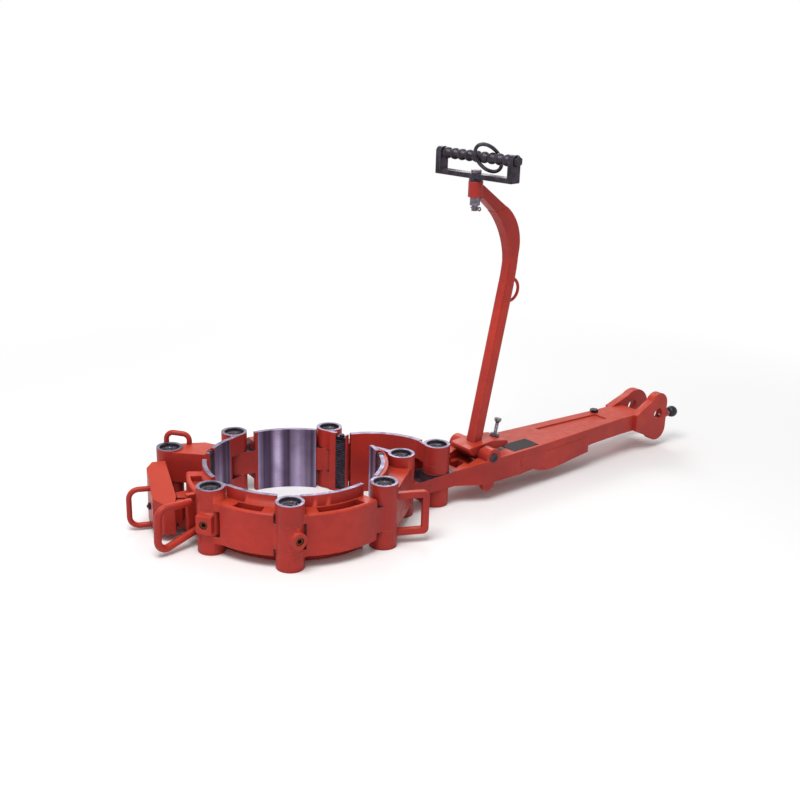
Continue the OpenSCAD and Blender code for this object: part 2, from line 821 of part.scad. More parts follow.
// Hanger: a forged stem with a swan neck, on a foot that tilts
stem_foot_z = hang_z + 26;
stem_foot_x = hang_x - 4;
head_x = 457;
neck_z0 = 560;
neck_r = 500;
neck_lean = 0.5;
function stem_x(z) = stem_foot_x + (z - stem_foot_z) * tan(stem_lean);
neck_p0 = [stem_x(neck_z0), neck_z0];
// Square section of the stem, with its corners eased
module stem_section(w) {
    e = w * 0.1;
    h = w / 2;
    polygon([[-h, e - h], [-h, h - e], [e - h, h], [h - e, h],
        [h, h - e], [h, e - h], [h - e, -h], [e - h, -h]]);
}
// A straight length of the section from p, leaning by a
module straight(p, a, len, w) {
    translate([p[0], 0, p[1]]) rotate([0, a, 0])
        linear_extrude(len) stem_section(w);
}
// An arc of the section that starts at p, leaning from a to b
module arc_bar(p, r, a, b, w) {
    translate([p[0] - r * cos(a), 0, p[1] + r * sin(a)])
        rotate([90, 0, 0]) rotate([0, 0, -a])
            rotate_extrude(angle = a - b, $fn = 96)
                translate([r, 0]) stem_section(w);
}
// The wide crook of the swan neck: a disc, less the disc inside its bend
crook_out = [483.8, 660];
crook_out_r = 121.5;
crook_in = [362, 600.7];
crook_in_r = 213;
module across(p, r, w) {
    translate([p[0], 0, p[1]]) rotate([90, 0, 0])
        translate([0, 0, -w / 2]) cylinder(r = r, h = w, $fn = 160);
}
module side_plate(points, w) {
    rotate([90, 0, 0]) translate([0, 0, -w / 2]) linear_extrude(w)
        polygon(points);
}
module crook(w) {
    difference() {
        intersection() {
            side_plate([[567, 618], [620, 618], [620, 774.3], [506, 748]], w);
            across(crook_out, crook_out_r, w + 2);
        }
        across(crook_in, crook_in_r, w + 2);
    }
}
// The tapered arm from the crook to the head
module crook_arm(w) {
    side_plate([[560, 738], [556.3, 756.2], [471, 819], [head_x, 813],
        [head_x, 793], [477, 783], [508.5, 755.5], [522, 744]], w);
}
module hanger_stem() {
    translate([0, lever_y, 0]) {
        straight([stem_x(stem_foot_z - 16), stem_foot_z - 16], stem_lean,
            (neck_z0 - stem_foot_z + 16) / cos(stem_lean) + 2, stem_w);
        arc_bar(neck_p0, neck_r, stem_lean, neck_lean, stem_w - 0.6);
        crook(stem_w - 1.2);
        crook_arm(stem_w - 2);
    }
}
foot_x0 = 446;
foot_x1 = 586;
foot_hw = 37;
foot_z0 = 126;
screw_x = 566;
screw_r = 5;
nut_z = 15;
module hanger() {
    color(paint) difference() {
        union() {
            hanger_stem();
            translate([0, lever_y, 0]) {
                translate([hang_x, 0.5 - slot_hw, hang_z])
                    rotate([-90, 0, 0])
                        cylinder(r = 22, h = 2 * slot_hw - 1);
                rotate([90, 0, 0]) translate([0, 0, -foot_hw])
                    linear_extrude(2 * foot_hw) polygon([[foot_x0, foot_z0 + 8],
                        [foot_x0 + 14, foot_z0 - 6], [foot_x1 - 10, foot_z0],
                        [foot_x1, foot_z0 + 6], [foot_x1 - 4, foot_z0 + 14],
                        [530, stem_foot_z + 4], [462, stem_foot_z],
                        [foot_x0, foot_z0 + 16]]);
                translate([head_x, 0, head_z])
                    cylinder(r = head_r, h = head_h);
            }
        }
        translate([hang_x, lever_y - 100, hang_z]) rotate([-90, 0, 0])
            cylinder(r = hang_pin_r + pin_fit, h = 200);
        translate([head_x, lever_y, head_z - 1])
            cylinder(r = swivel_r + pin_fit, h = head_h + 2);
        at_screw() translate([0, 0, -20])
            cylinder(r = screw_r + 0.1, h = 80);
        at_screw() translate([0, 0, nut_z - 0.2]) cylinder(r = 14, h = 40);
        ring_shape(4.1);
        translate([head_x, lever_y, head_z - 40])
            cylinder(r = 17, h = 40);
    }
}

// Pin across the lever that the hanger's foot tilts on
module hanger_pin() {
    color(black_steel)
        translate([hang_x, lever_y - lever_hw - 1, hang_z])
            rotate([-90, 0, 0]) {
                cylinder(r = hang_pin_r, h = 2 * lever_hw + 2);
            }
}

// Levelling screw, which bears on the lever's top, and its lock nut
tip_r = 4;
screw_tip = foot_z0 - knuckle_hi - tip_r - 0.35;
screw_top = 55;
module at_screw() {
    translate([screw_x, lever_y, foot_z0]) rotate([0, stem_lean, 0]) children();
}
module levelling_screw() {
    color(bright_steel) at_screw() {
        translate([0, 0, -screw_tip]) sphere(r = tip_r);
        translate([0, 0, 0.6 - screw_tip])
            cylinder(r = screw_r, h = screw_top + screw_tip);
        translate([0, 0, screw_top]) cylinder(r1 = 6, r2 = 8.2, h = 5);
        translate([0, 0, screw_top + 4]) cylinder(r = 9.5, h = 8);
    }
}
module lock_nut() {
    color(bright_steel) at_screw() translate([0, 0, nut_z]) difference() {
        cylinder(r = 12, h = 10, $fn = 6);
        translate([0, 0, -1]) cylinder(r = screw_r + 0.1, h = 13);
    }
}

// Small ring of bar on the back of the stem
ring_z = 540;
ring_r = 30;
module ring_shape(bar_r) {
    translate([stem_x(ring_z) + stem_w / 2 + 1, lever_y, ring_z])
        rotate([0, stem_lean, 0]) rotate([90, 0, 0]) rotate([0, 0, -100])
            rotate_extrude(angle = 200, $fn = 64)
                translate([ring_r, 0]) circle(r = bar_r, $fn = 24);
}
module hanger_ring() {
    color(paint) ring_shape(4);
}

// Swivel bolt through the hanger's head, its nut and its cotter
collar_h = 6;
bail_z = head_z + head_h + 1 + collar_h;
bail_floor = 12;
module swivel_bolt() {
    color(black_steel) translate([head_x, lever_y, 0]) difference() {
        union() {
            translate([0, 0, head_z - 34])
                cylinder(r = swivel_r, h = bail_z + bail_floor + 1 - head_z + 34);
            translate([0, 0, bail_z + bail_floor + 0.3])
                cylinder(r = 13, h = bolt_head_h, $fn = 6);
        }
        translate([0, 0, head_z - 28]) rotate([90, 0, 0])
            translate([0, 0, -20]) cylinder(r = 2.2, h = 40);
    }
}
module swivel_nut() {
    color(bare_steel) translate([head_x, lever_y, head_z - 20.3]) difference() {
        cylinder(r = 12.5, h = 20);
        translate([0, 0, -1]) cylinder(r = swivel_r + 0.1, h = 22);
    }
}
module swivel_cotter() {
    color(bare_steel) translate([head_x, lever_y, head_z - 28]) {
        rotate([90, 0, 0]) translate([0, 0, -13]) cylinder(r = 2, h = 26);
        translate([0, -17, 0]) rotate([0, 90, 0])
            rotate_extrude() translate([4, 0]) circle(r = 1.8, $fn = 16);
    }
}

// Bail: a flat-bar frame that turns on the swivel bolt
module at_bail() {
    translate([head_x, lever_y, bail_z]) rotate([0, 0, bail_turn]) children();
}
bail_side = 16;
bail_bar_z = bail_h - 15;
bail_bar_r = 9;
module bail() {
    color(black_steel) at_bail() difference() {
        union() {
            translate([-bail_len / 2, -bail_t / 2, 0])
                cube([bail_len, bail_t, bail_floor]);
            translate([0, 0, 0.6 - collar_h])
                cylinder(r = 17, h = collar_h + 1);
            for (s = [-1, 1])
                translate([s * (bail_len / 2 - bail_side / 2) - bail_side / 2,
                    -bail_t / 2, 0]) cube([bail_side, bail_t, bail_h - 8]);
            for (s = [-1, 1])
                translate([s * (bail_len / 2 - bail_side / 2) - bail_side / 2,
                    0, bail_bar_z]) rotate([0, 90, 0])
                    cylinder(r = 15, h = bail_side);
        }
        translate([0, 0, -collar_h]) cylinder(r = swivel_r + pin_fit, h = 30);
        translate([-200, 0, bail_bar_z]) rotate([0, 90, 0])
            cylinder(r = bail_bar_r + 0.05, h = 400);
    }
}

// Ribbed bar across the bail's top
bail_ribs = 9;
bail_inner = bail_len - 2 * bail_side - 1;
bail_pitch = bail_inner / bail_ribs;
module bail_bar() {
    inner = bail_inner;
    pitch = bail_pitch;
    steps = 6;
    color(black_steel) at_bail() translate([0, 0, bail_bar_z])
        rotate([0, 90, 0]) {
            translate([0, 0, -bail_len / 2 - 1])
                cylinder(r = bail_bar_r, h = bail_len + 10);
            translate([0, 0, -inner / 2]) rotate_extrude($fn = 48)
                polygon(concat([[bail_bar_r - 2, 0]],
                    [for (i = [0:bail_ribs - 1], k = [0:steps])
                        [bail_bar_r + 5 * sin(180 * k / steps) + 0.2,
                            (i + k / steps) * pitch]],
                    [[bail_bar_r - 2, inner]]));
        }
}
module bail_bar_nut() {
    color(black_steel) at_bail() translate([bail_len / 2 + 0.3, 0, bail_bar_z])
        rotate([0, 90, 0]) difference() {
            cylinder(r = 12.5, h = 7, $fn = 6);
            translate([0, 0, -1]) cylinder(r = bail_bar_r + 0.1, h = 12);
        }
}

// Sling link, a skewed ring that hangs aslant round the ribbed bar
link_r = 4.5;
link_half = 32;
link_skew = 26;
link_turn = 41;
link_drop = 0.2;
bolt_head_h = 8;
link_valley = 6;
module sling_link() {
    n = 36;
    sides = 8;
    x = link_valley * bail_pitch - bail_inner / 2;
    side = [cos(link_turn), sin(link_turn), 0];
    c = [for (i = [0:n - 1]) let(a = 360 * i / n)
        [x, 0, bail_bar_z - link_drop] + link_half * sin(a) * side
            + [0, 0, link_half * cos(a + link_skew)]];
    out = cross(side, [0, 0, 1]);
    rings = [for (i = [0:n - 1]) let(
        t = c[(i + 1) % n] - c[(i + n - 1) % n], d = t / norm(t),
        v = cross(d, out))
        [for (k = [0:sides - 1]) let(b = 360 * k / sides)
            c[i] + link_r * (out * cos(b) + v * sin(b))]];
    color(black_steel) at_bail() polyhedron(
        [for (ring = rings) each ring],
        [for (i = [0:n - 1], k = [0:sides - 1])
            let(j = (i + 1) % n, m = (k + 1) % sides)
            [i * sides + k, i * sides + m, j * sides + m, j * sides + k]]);
}

// A round bar bent in the plane XY along a row of points,
// drawn down a little in its bends
module bent_bar(points, r, d) {
    n = len(points) - 1;
    function unit(v) = v / norm(v);
    function turn(i) = i == 0 || i == n ? 0 : let(
        u = unit(points[i - 1] - points[i]),
        v = unit(points[i + 1] - points[i])) r / tan(acos(u * v) / 2);
    for (i = [0:n - 1]) let(v = unit(points[i + 1] - points[i]),
        p = points[i] + v * (turn(i) - (i == 0 ? 0 : 1)),
        q = points[i + 1] - v * (turn(i + 1) - (i == n - 1 ? 0 : 1)))
        translate(p) rotate([0, 0, atan2(v[1], v[0])]) rotate([0, 90, 0])
            cylinder(r = d / 2, h = norm(q - p), $fn = 32);
    for (i = [1:n - 1]) let(
        u = unit(points[i - 1] - points[i]), v = unit(points[i + 1] - points[i]),
        half = acos(u * v) / 2, c = points[i] + unit(u + v) * r / sin(half),
        mid = atan2(-(u + v)[1], -(u + v)[0]))
        translate(c) rotate([0, 0, mid - 90 + half])
            rotate_extrude(angle = 180 - 2 * half, $fn = 64)
                translate([r, 0]) circle(r = d / 2 - 0.15, $fn = 32);
}
// The upright plane through a point, turned to an azimuth
module upright(p, az) {
    translate(flat(p)) rotate([0, 0, az]) rotate([90, 0, 0]) children();
}

// Handle on the latch: a bar bent to a flat loop
handle_x = 126;
handle_lo = 14;
handle_hi = 92;
handle_out = 52;
handle_bend = 24;
handle_root = 12;
module at_handle() {
    at_latch() translate([handle_x, arm_in - latch_t + handle_root, 0])
        rotate([0, 0, -90]) rotate([90, 0, 0]) children();
}
module latch_handle() {
    out = handle_root + handle_out;
    color(paint) at_handle() bent_bar([[0, handle_lo], [out, handle_lo],
        [out, handle_hi], [0, handle_hi]], handle_bend, latch_bar_d);
}
module latch_handle_holes() {
    for (z = [handle_lo, handle_hi])
        translate([handle_x, arm_in - latch_t + handle_root + 0.2, z])
            rotate([90, 0, 0]) cylinder(r = latch_bar_d / 2 + 0.1, h = 20);
}

// Handle on the lug jaw: a bar bent to an open triangle
lug_handle_root = polar(body_r - 5.4, 176.1);
lug_handle_az = 186;
lug_handle_path = [[0, 42], [121, lug_bar_d / 2 + 1], [117, 122], [24, 116]];
module lug_handle() {
    color(paint) upright(lug_handle_root, lug_handle_az)
        bent_bar(lug_handle_path, 24, lug_bar_d);
}
module lug_handle_sockets() {
    n = len(lug_handle_path) - 1;
    upright(lug_handle_root, lug_handle_az)
        for (e = [[0, 1], [n, n - 1]]) let(p = lug_handle_path[e[0]],
            v = lug_handle_path[e[1]] - p)
            translate(p) rotate([0, 0, atan2(v[1], v[0])])
                rotate([0, 90, 0]) translate([0, 0, -0.2])
                    cylinder(r = lug_bar_d / 2 + 0.15, h = 70);
}

// Lifting loop behind the latch's boss, on the carrier jaw
loop_root = pin_latch + polar(boss_r + 5, 73);
loop_az = -41;
loop_lo = 140;
loop_span = 60;
module lifting_loop() {
    color(paint) upright(loop_root, loop_az)
        bent_bar([[0, loop_lo], [0, 192], [loop_span, 186],
            [loop_span, loop_lo]], 18, loop_bar_d);
}
module loop_sockets() {
    upright(loop_root, loop_az) for (x = [0, loop_span])
        translate([x, loop_lo - 0.1, 0]) rotate([-90, 0, 0])
            cylinder(r = loop_bar_d / 2 + 0.1, h = 40);
}

// Side handle, a flat loop on the two bosses of the short jaw
side_plane = -24;
side_out = 112;
side_z = [22, 134];
side_bar = 17;
side_seat = 7;
module side_handle_shape(grow) {
    x0 = boss_r - side_seat - grow;
    translate(flat(pin_short)) rotate([0, 0, side_plane]) rotate([90, 0, 0])
        translate([0, 0, -8 - grow]) linear_extrude(16 + 2 * grow)
            difference() {
                translate([x0, side_z[0] - grow])
                    square([side_out - x0 + grow, side_z[1] - side_z[0] + 2 * grow]);
                translate([x0 - 1, side_z[0] + side_bar + grow])
                    square([side_out - x0 + 1 - side_bar - grow,
                        side_z[1] - side_z[0] - 2 * side_bar - 2 * grow]);
            }
}
module side_handle() { color(paint) side_handle_shape(0); }

lever();
long_jaw();
back_jaw();
carrier_jaw();
latch();
short_jaw();
front_inner_jaw();
front_outer_jaw();
lug_jaw();
long_jaw_pins();
carrier_jaw_pins();
short_jaw_pins();
front_inner_pin();
front_outer_pin();
long_jaw_clips();
carrier_jaw_clips();
short_jaw_clips();
front_inner_clip();
front_outer_clip();
long_jaw_die();
carrier_jaw_die();
short_jaw_die();
long_jaw_die_bolts();
carrier_jaw_die_bolts();
short_jaw_die_bolts();
front_pin_plug();
lug_pin_plug();
latch_spring();
latch_bolt();
latch_handle();
lug_handle();
lifting_loop();
side_handle();
hanger();
hanger_pin();
levelling_screw();
lock_nut();
hanger_ring();
swivel_bolt();
swivel_nut();
swivel_cotter();
bail();
bail_bar();
bail_bar_nut();
sling_link();
nameplate();
nameplate_rivets();
lever_bolt();
pin_lock();
pin_lock_knob();
pin_lock_gland();
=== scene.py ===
# %% [markdown]
# Manual pipe tongs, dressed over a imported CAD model.
# The frame is a set of solids in metres: the bore's axis stands at the origin,
# Z is up, and the lever runs along +X. Every piece made here is set on it, so
# a number read from the frame is a place on the real thing.

# %% Load the frame
import json
import math

import bmesh
import bpy
from mathutils import Matrix, Vector


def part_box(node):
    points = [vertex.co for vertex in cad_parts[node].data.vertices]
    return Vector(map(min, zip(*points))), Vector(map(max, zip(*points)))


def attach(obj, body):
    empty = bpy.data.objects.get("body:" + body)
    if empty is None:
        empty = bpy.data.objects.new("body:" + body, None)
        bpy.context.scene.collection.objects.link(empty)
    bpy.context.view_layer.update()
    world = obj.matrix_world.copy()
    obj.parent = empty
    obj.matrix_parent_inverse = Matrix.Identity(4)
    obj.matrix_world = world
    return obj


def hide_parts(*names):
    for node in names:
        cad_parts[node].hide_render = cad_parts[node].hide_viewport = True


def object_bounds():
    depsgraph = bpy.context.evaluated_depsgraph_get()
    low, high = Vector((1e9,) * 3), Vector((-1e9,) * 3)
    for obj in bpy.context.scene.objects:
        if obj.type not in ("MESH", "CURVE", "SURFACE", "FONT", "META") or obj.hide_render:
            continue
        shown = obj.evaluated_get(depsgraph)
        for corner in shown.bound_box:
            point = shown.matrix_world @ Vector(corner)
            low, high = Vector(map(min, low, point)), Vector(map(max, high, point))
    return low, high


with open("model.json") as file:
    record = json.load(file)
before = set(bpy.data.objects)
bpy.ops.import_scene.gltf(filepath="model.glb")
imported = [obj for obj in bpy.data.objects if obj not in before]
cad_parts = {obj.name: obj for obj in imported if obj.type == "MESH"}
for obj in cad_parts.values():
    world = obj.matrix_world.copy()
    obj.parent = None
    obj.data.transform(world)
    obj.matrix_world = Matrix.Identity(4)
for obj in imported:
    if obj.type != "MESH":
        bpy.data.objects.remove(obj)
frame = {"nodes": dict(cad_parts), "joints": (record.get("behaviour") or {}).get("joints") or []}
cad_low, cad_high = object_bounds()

MM = 0.001
nodes = frame["nodes"]
print("the frame has", len(nodes), "nodes and is",
      [round(high - low, 3) for low, high in zip(cad_low, cad_high)], "m")

# %% [markdown]
# The picture of these tongs was taken from the open side of the ring, a little
# above waist height. The camera stands at that place and looks down at the
# jaws. The object isn't in the middle of the picture. Turning the camera away
# would change the view, so the lens is shifted instead, as cropping does.

# %% Camera
EYE = (-1.4866, -2.1989, 1.2297)
LOOK_ROUND = 55.6
LOOK_DOWN = 18.9

lens = bpy.data.cameras.new("camera")
lens.lens = 51.75
lens.sensor_width = 36
lens.shift_x = 0.125
camera = bpy.data.objects.new("camera", lens)
camera.location = EYE
camera.rotation_euler = (math.radians(90 - LOOK_DOWN), 0,
                         math.radians(LOOK_ROUND - 90))
bpy.context.scene.collection.objects.link(camera)
bpy.context.scene.camera = camera
print("camera at", EYE, "looks down by", LOOK_DOWN, "degrees")

# %% [markdown]
# A material is a small graph of nodes. It could be laid out by hand in the
# editor, but a few helpers keep it readable as text. The first makes one node
# and wires it at once, so that each finish below reads like a recipe. The
# second turns a colour as a screen shows it into the light values that a
# shader counts in.

# %% One node, one colour


def add(tree, kind, sockets=None, **settings):
    """Adds a node, sets its fields, and sets or wires its inputs."""
    made = tree.nodes.new(kind)
    for field, value in settings.items():
        setattr(made, field, value)
    for socket, value in (sockets or {}).items():
        if isinstance(value, bpy.types.NodeSocket):
            tree.links.new(value, made.inputs[socket])
        else:
            made.inputs[socket].default_value = value
    return made


def paint(red, green, blue):
    """A colour as a screen shows it, from 0 to 255, in light values."""
    return [((c / 255 + 0.055) / 1.055) ** 2.4
            for c in (red, green, blue)] + [1]


print("a middle grey, 128 on screen, is", round(paint(128, 128, 128)[0], 3),
      "in light")

# %% [markdown]
# Nearly every finish starts from cloudy noise, since nothing from a foundry is
# one even colour. Every pattern reads Object coordinates, which are metres
# here, so a scale of 100 gives a grain of about a centimetre. A second helper
# picks out one part of a cloud: the tighter its range, the harder the edges of
# the patches.

# %% Clouds and patches


def grain(tree, scale, detail, stretch=None):
    """A cloudy pattern from 0 to 1 over the piece's own coordinates."""
    place = add(tree, "ShaderNodeTexCoord").outputs["Object"]
    if stretch:
        place = add(tree, "ShaderNodeMapping",
                    {"Vector": place, "Scale": stretch}).outputs[0]
    return add(tree, "ShaderNodeTexNoise",
               {"Vector": place, "Scale": scale, "Detail": detail}).outputs[0]


def between(tree, value, low, high, start=0.0, end=1.0):
    """Stretches a value's low to high over start to end, and holds it."""
    return add(tree, "ShaderNodeMapRange",
               {"Value": value, "From Min": low, "From Max": high,
                "To Min": start, "To Max": end}).outputs[0]


print("a grain of scale 420, as the sand's, is about", round(1000 / 420, 1),
      "mm")

# %% [markdown]
# Patterns are then added, multiplied, or laid over each other as colours. A
# colour mix takes its share first and its two colours after it. The Mix node
# has sockets for several kinds of data, and the colours are numbers 6 and 7.

# %% Sums and mixes
SHARE, UNDER, OVER = 0, 6, 7
MIXED_COLOUR = 2


def reckon(tree, operation, first, second):
    """One sum of two values."""
    return add(tree, "ShaderNodeMath", {0: first, 1: second},
               operation=operation).outputs[0]


def mixed(tree, share, first, second):
    """Lays the second colour over the first by a share."""
    mix = add(tree, "ShaderNodeMix",
              {SHARE: share, UNDER: first, OVER: second}, data_type="RGBA")
    return mix.outputs[MIXED_COLOUR]


print("colours are mixed through sockets", UNDER, "and", OVER)

# %% [markdown]
# Paint and steel change by place. Edges rub bare, bright steel rusts in its
# corners, the paint gets painted shade in its corners and painted light on its
# tops. Someone could paint a mask for each, but three measures of the surface
# do it on any shape: how far a rounded-over normal leans from the true one, how
# much of its surroundings a point sees, and how far a face looks up.

# %% Edges, hollows and tops
RAY_SAMPLES = 6
WORN_FROM, WORN_FULL = 0.995, 0.80
OPEN_SKY, DEEP_POCKET = 0.85, 0.35


def edges(tree, reach):
    """Where the surface turns sharply: 0 on flats, 1 on edges and corners."""
    soft = add(tree, "ShaderNodeBevel", {"Radius": reach},
               samples=RAY_SAMPLES)
    true = add(tree, "ShaderNodeNewGeometry")
    dot = add(tree, "ShaderNodeVectorMath",
              {0: soft.outputs[0], 1: true.outputs["Normal"]},
              operation="DOT_PRODUCT").outputs["Value"]
    return between(tree, dot, WORN_FROM, WORN_FULL)


def hollows(tree, reach):
    """How shut in a point is: 1 in corners and pockets, 0 on open faces."""
    seen = add(tree, "ShaderNodeAmbientOcclusion", {"Distance": reach},
               samples=RAY_SAMPLES).outputs["AO"]
    return between(tree, seen, OPEN_SKY, DEEP_POCKET)


def upward(tree):
    """How far the surface looks up: 1 on tops, 0 on upright walls."""
    true = add(tree, "ShaderNodeNewGeometry")
    return add(tree, "ShaderNodeSeparateXYZ",
               {0: true.outputs["Normal"]}).outputs["Z"]


print("an edge counts as worn from a lean of",
      round(math.degrees(math.acos(WORN_FROM))), "degrees, and in full at",
      round(math.degrees(math.acos(WORN_FULL))))

# %% [markdown]
# A finish begins with its constants on the main shader's own sockets, and ends
# when its patterns are wired there. Before a pattern is pressed into the
# surface, the bump rounds the edges over by a millimetre or two, because no
# real edge is perfectly sharp and a round one catches a line of light.

# %% Begin and end a finish
ROUND_EDGE = 1.5 * MM


def roughened(tree, height, strength, depth, radius=ROUND_EDGE):
    """Normals of a rounded-over edge, with a pattern pressed into them."""
    soft = add(tree, "ShaderNodeBevel", {"Radius": radius},
               samples=RAY_SAMPLES)
    return add(tree, "ShaderNodeBump",
               {"Height": height, "Strength": strength, "Distance": depth,
                "Normal": soft.outputs[0]}).outputs[0]


def start(name, **constants):
    """A new material, its tree and its main shader."""
    material = bpy.data.materials.new(name)
    material.use_nodes = True
    tree = material.node_tree
    shader = tree.nodes["Principled BSDF"]
    for socket, value in constants.items():
        shader.inputs[socket.replace("_", " ")].default_value = value
    return material, tree, shader


def wear(tree, shader, **wires):
    """Wires finished patterns to the shader's sockets."""
    for socket, value in wires.items():
        tree.links.new(value, shader.inputs[socket.replace("_", " ")])


print("edges look rounded over by", ROUND_EDGE / MM, "mm")

# %% [markdown]
# The tongs are sand castings, sprayed red-orange. On the real thing the coat
# is thick and half glossy, rubs pale on edges, and lets the sand's grain
# through. So the colour mixes three scales of cloud, corners get painted shade,
# tops get painted light, edges go pale where a second cloud says so, and two
# bumps give the orange peel and the sand.

# %% Red casting paint
RED = paint(184, 52, 40)
RED_DEEP = paint(152, 42, 38)
RED_BROWN = paint(84, 26, 28)
RED_RUBBED = paint(206, 96, 74)
RED_PAINTED_LIGHT = paint(198, 68, 40)


def red_colour(tree, close):
    """Cloud, painted light on tops, specks, painted shade in corners, rubbed edges."""
    broad = between(tree, grain(tree, 5, 3), 0.35, 0.65)
    colour = mixed(tree, broad, RED, RED_DEEP)
    deeper = reckon(tree, "MULTIPLY", close, 0.35)
    colour = mixed(tree, deeper, colour, RED_DEEP)
    # Painted light: faces that look up are mixed towards a lighter orange, as light from above
    # would make them.
    painted_top_light = between(tree, upward(tree), 0.4, 0.95, 0, 0.55)
    colour = mixed(tree, painted_top_light, colour, RED_PAINTED_LIGHT)
    specks = between(tree, grain(tree, 160, 3), 0.62, 0.72, 0, 0.3)
    colour = mixed(tree, specks, colour, RED_BROWN)
    # Painted shade: corners and pockets are mixed towards dark red-brown.
    painted_shade = reckon(tree, "MULTIPLY", hollows(tree, 22 * MM), 0.38)
    colour = mixed(tree, painted_shade, colour, RED_BROWN)
    broken = between(tree, grain(tree, 90, 3), 0.35, 0.6)
    rubbed = reckon(tree, "MULTIPLY", edges(tree, 2.2 * MM), broken)
    rubbed = reckon(tree, "MULTIPLY", rubbed, 0.7)
    return mixed(tree, rubbed, colour, RED_RUBBED)


def red_paint():
    """Sprayed paint on a sand casting."""
    material, tree, shader = start("red_casting_paint",
                                   Specular_IOR_Level=0.22)
    close = between(tree, grain(tree, 38, 4), 0.35, 0.7)
    sand = reckon(tree, "MULTIPLY", grain(tree, 420, 2), 0.35)
    height = reckon(tree, "ADD", sand, grain(tree, 60, 2))
    wear(tree, shader, Base_Color=red_colour(tree, close),
         Roughness=between(tree, close, 0, 1, 0.34, 0.5),
         Normal=roughened(tree, height, 0.35, 1.2 * MM, 2 * MM))
    return material


red = red_paint()
print("made", red.name, "with", len(red.node_tree.nodes), "nodes")

# %% [markdown]
# The bore is turned on a lathe after casting. Bare steel in a workshop goes a
# dark purple-grey, with upright streaks where pipe has slid. A plain noise
# would make blotches. So the way from the axis, brought to length 1, is what
# the pattern reads: it changes only with the way round, and gives upright
# bands. The light bands are painted reflections, like those a cylinder shows of
# its room, and are smoother too. The metal shader adds its real reflections.

# %% Turned bore steel
BORE_DARK = paint(50, 36, 54)
BORE_MID = paint(100, 84, 112)
BORE_PAINTED_REFLECTION = paint(206, 188, 226)


def round_the_axis(tree, scale):
    """Upright bands: a pattern that changes only with the way round Z."""
    place = add(tree, "ShaderNodeTexCoord").outputs["Object"]
    flat = add(tree, "ShaderNodeVectorMath", {0: place, 1: (1, 1, 0)},
               operation="MULTIPLY").outputs[0]
    turn = add(tree, "ShaderNodeVectorMath", {0: flat},
               operation="NORMALIZE").outputs[0]
    return add(tree, "ShaderNodeTexNoise",
               {"Vector": turn, "Scale": scale, "Detail": 1}).outputs[0]


def bore_steel():
    """Turned steel: painted reflection bands, streaks, stains, tool marks."""
    material, tree, shader = start("turned_bore_steel", Metallic=0.85)
    band = between(tree, round_the_axis(tree, 6), 0.45, 0.6)
    streak = between(tree, grain(tree, 40, 4, (1, 1, 0.03)), 0.3, 0.7)
    stain = between(tree, grain(tree, 14, 4), 0.45, 0.7, 0, 0.4)
    colour = mixed(tree, streak, BORE_DARK, BORE_MID)
    # Painted reflection: light lilac bands round the bore, as a lit room would mirror.
    painted_reflection = reckon(tree, "MULTIPLY", band,
                      between(tree, streak, 0, 1, 0.6, 1))
    colour = mixed(tree, painted_reflection, colour, BORE_PAINTED_REFLECTION)
    colour = mixed(tree, stain, colour, BORE_DARK)
    tool_marks = grain(tree, 30, 2, (0.3, 0.3, 30))
    wear(tree, shader, Base_Color=colour,
         Roughness=between(tree, band, 0, 1, 0.42, 0.24),
         Normal=roughened(tree, tool_marks, 0.12, 0.4 * MM))
    return material


bore = bore_steel()
print("made", bore.name, "with", len(bore.node_tree.nodes), "nodes")

# %% [markdown]
# The tops of the liner wall and of the bosses are faced off in the same
# clamping, so they stay bare too. They catch the light from above and read as
# thin lilac-grey lines. The strips are narrow, so a cloud and some nicks are
# all that can be seen of their grain.

# %% Faced steel
FACED = paint(134, 124, 148)
FACED_DARK = paint(84, 74, 98)


def faced_steel():
    """Steel cut flat, with a cloud and small dark nicks."""
    material, tree, shader = start("faced_steel", Metallic=0.8)
    cloud = between(tree, grain(tree, 45, 4), 0.35, 0.7)
    colour = mixed(tree, cloud, FACED, FACED_DARK)
    nicks = between(tree, grain(tree, 260, 3), 0.6, 0.72, 0, 0.6)
    colour = mixed(tree, nicks, colour, FACED_DARK)
    wear(tree, shader, Base_Color=colour,
         Roughness=between(tree, cloud, 0, 1, 0.3, 0.48),
         Normal=roughened(tree, grain(tree, 300, 2), 0.15, 0.5 * MM))
    return material


faced = faced_steel()
print("made", faced.name, "with", len(faced.node_tree.nodes), "nodes")

# %% [markdown]
# The forged parts at the top of the hanger, the dies and the small fittings
# are blackened steel. Oil keeps it dark, hands and ropes rub its edges grey.
# One recipe makes both the bail's black and the shinier black of the dies.

# %% Blackened steel
BLACK = paint(30, 22, 32)
BLACK_WORN = paint(128, 116, 134)


def black_steel(name, metallic, smooth, rough, edge_reach):
    """Oiled black steel, rubbed grey on its edges."""
    material, tree, shader = start(name, Metallic=metallic)
    cloud = between(tree, grain(tree, 50, 4), 0.4, 0.7)
    colour = mixed(tree, reckon(tree, "MULTIPLY", cloud, 0.2),
                   BLACK, BLACK_WORN)
    broken = between(tree, grain(tree, 120, 3), 0.3, 0.6)
    rubbed = reckon(tree, "MULTIPLY", edges(tree, edge_reach), broken)
    colour = mixed(tree, rubbed, colour, BLACK_WORN)
    wear(tree, shader, Base_Color=colour,
         Roughness=between(tree, cloud, 0, 1, smooth, rough),
         Normal=roughened(tree, grain(tree, 240, 3), 0.25, 0.6 * MM, 1 * MM))
    return material


black = black_steel("blackened_steel", metallic=0.55, smooth=0.32, rough=0.5,
                    edge_reach=1.2 * MM)
die_steel = black_steel("die_steel", metallic=0.8, smooth=0.3, rough=0.42,
                        edge_reach=1 * MM)
print("made", black.name, "and", die_steel.name)

# %% [markdown]
# The retaining rings, the pin ends, the screw and the small nuts are bright or
# half bright. Zinc has a fine mottle and picks up brown in its corners. The
# four steels differ in how light they are and how far rust has come.

# %% Bright steel
RUST = paint(92, 58, 40)


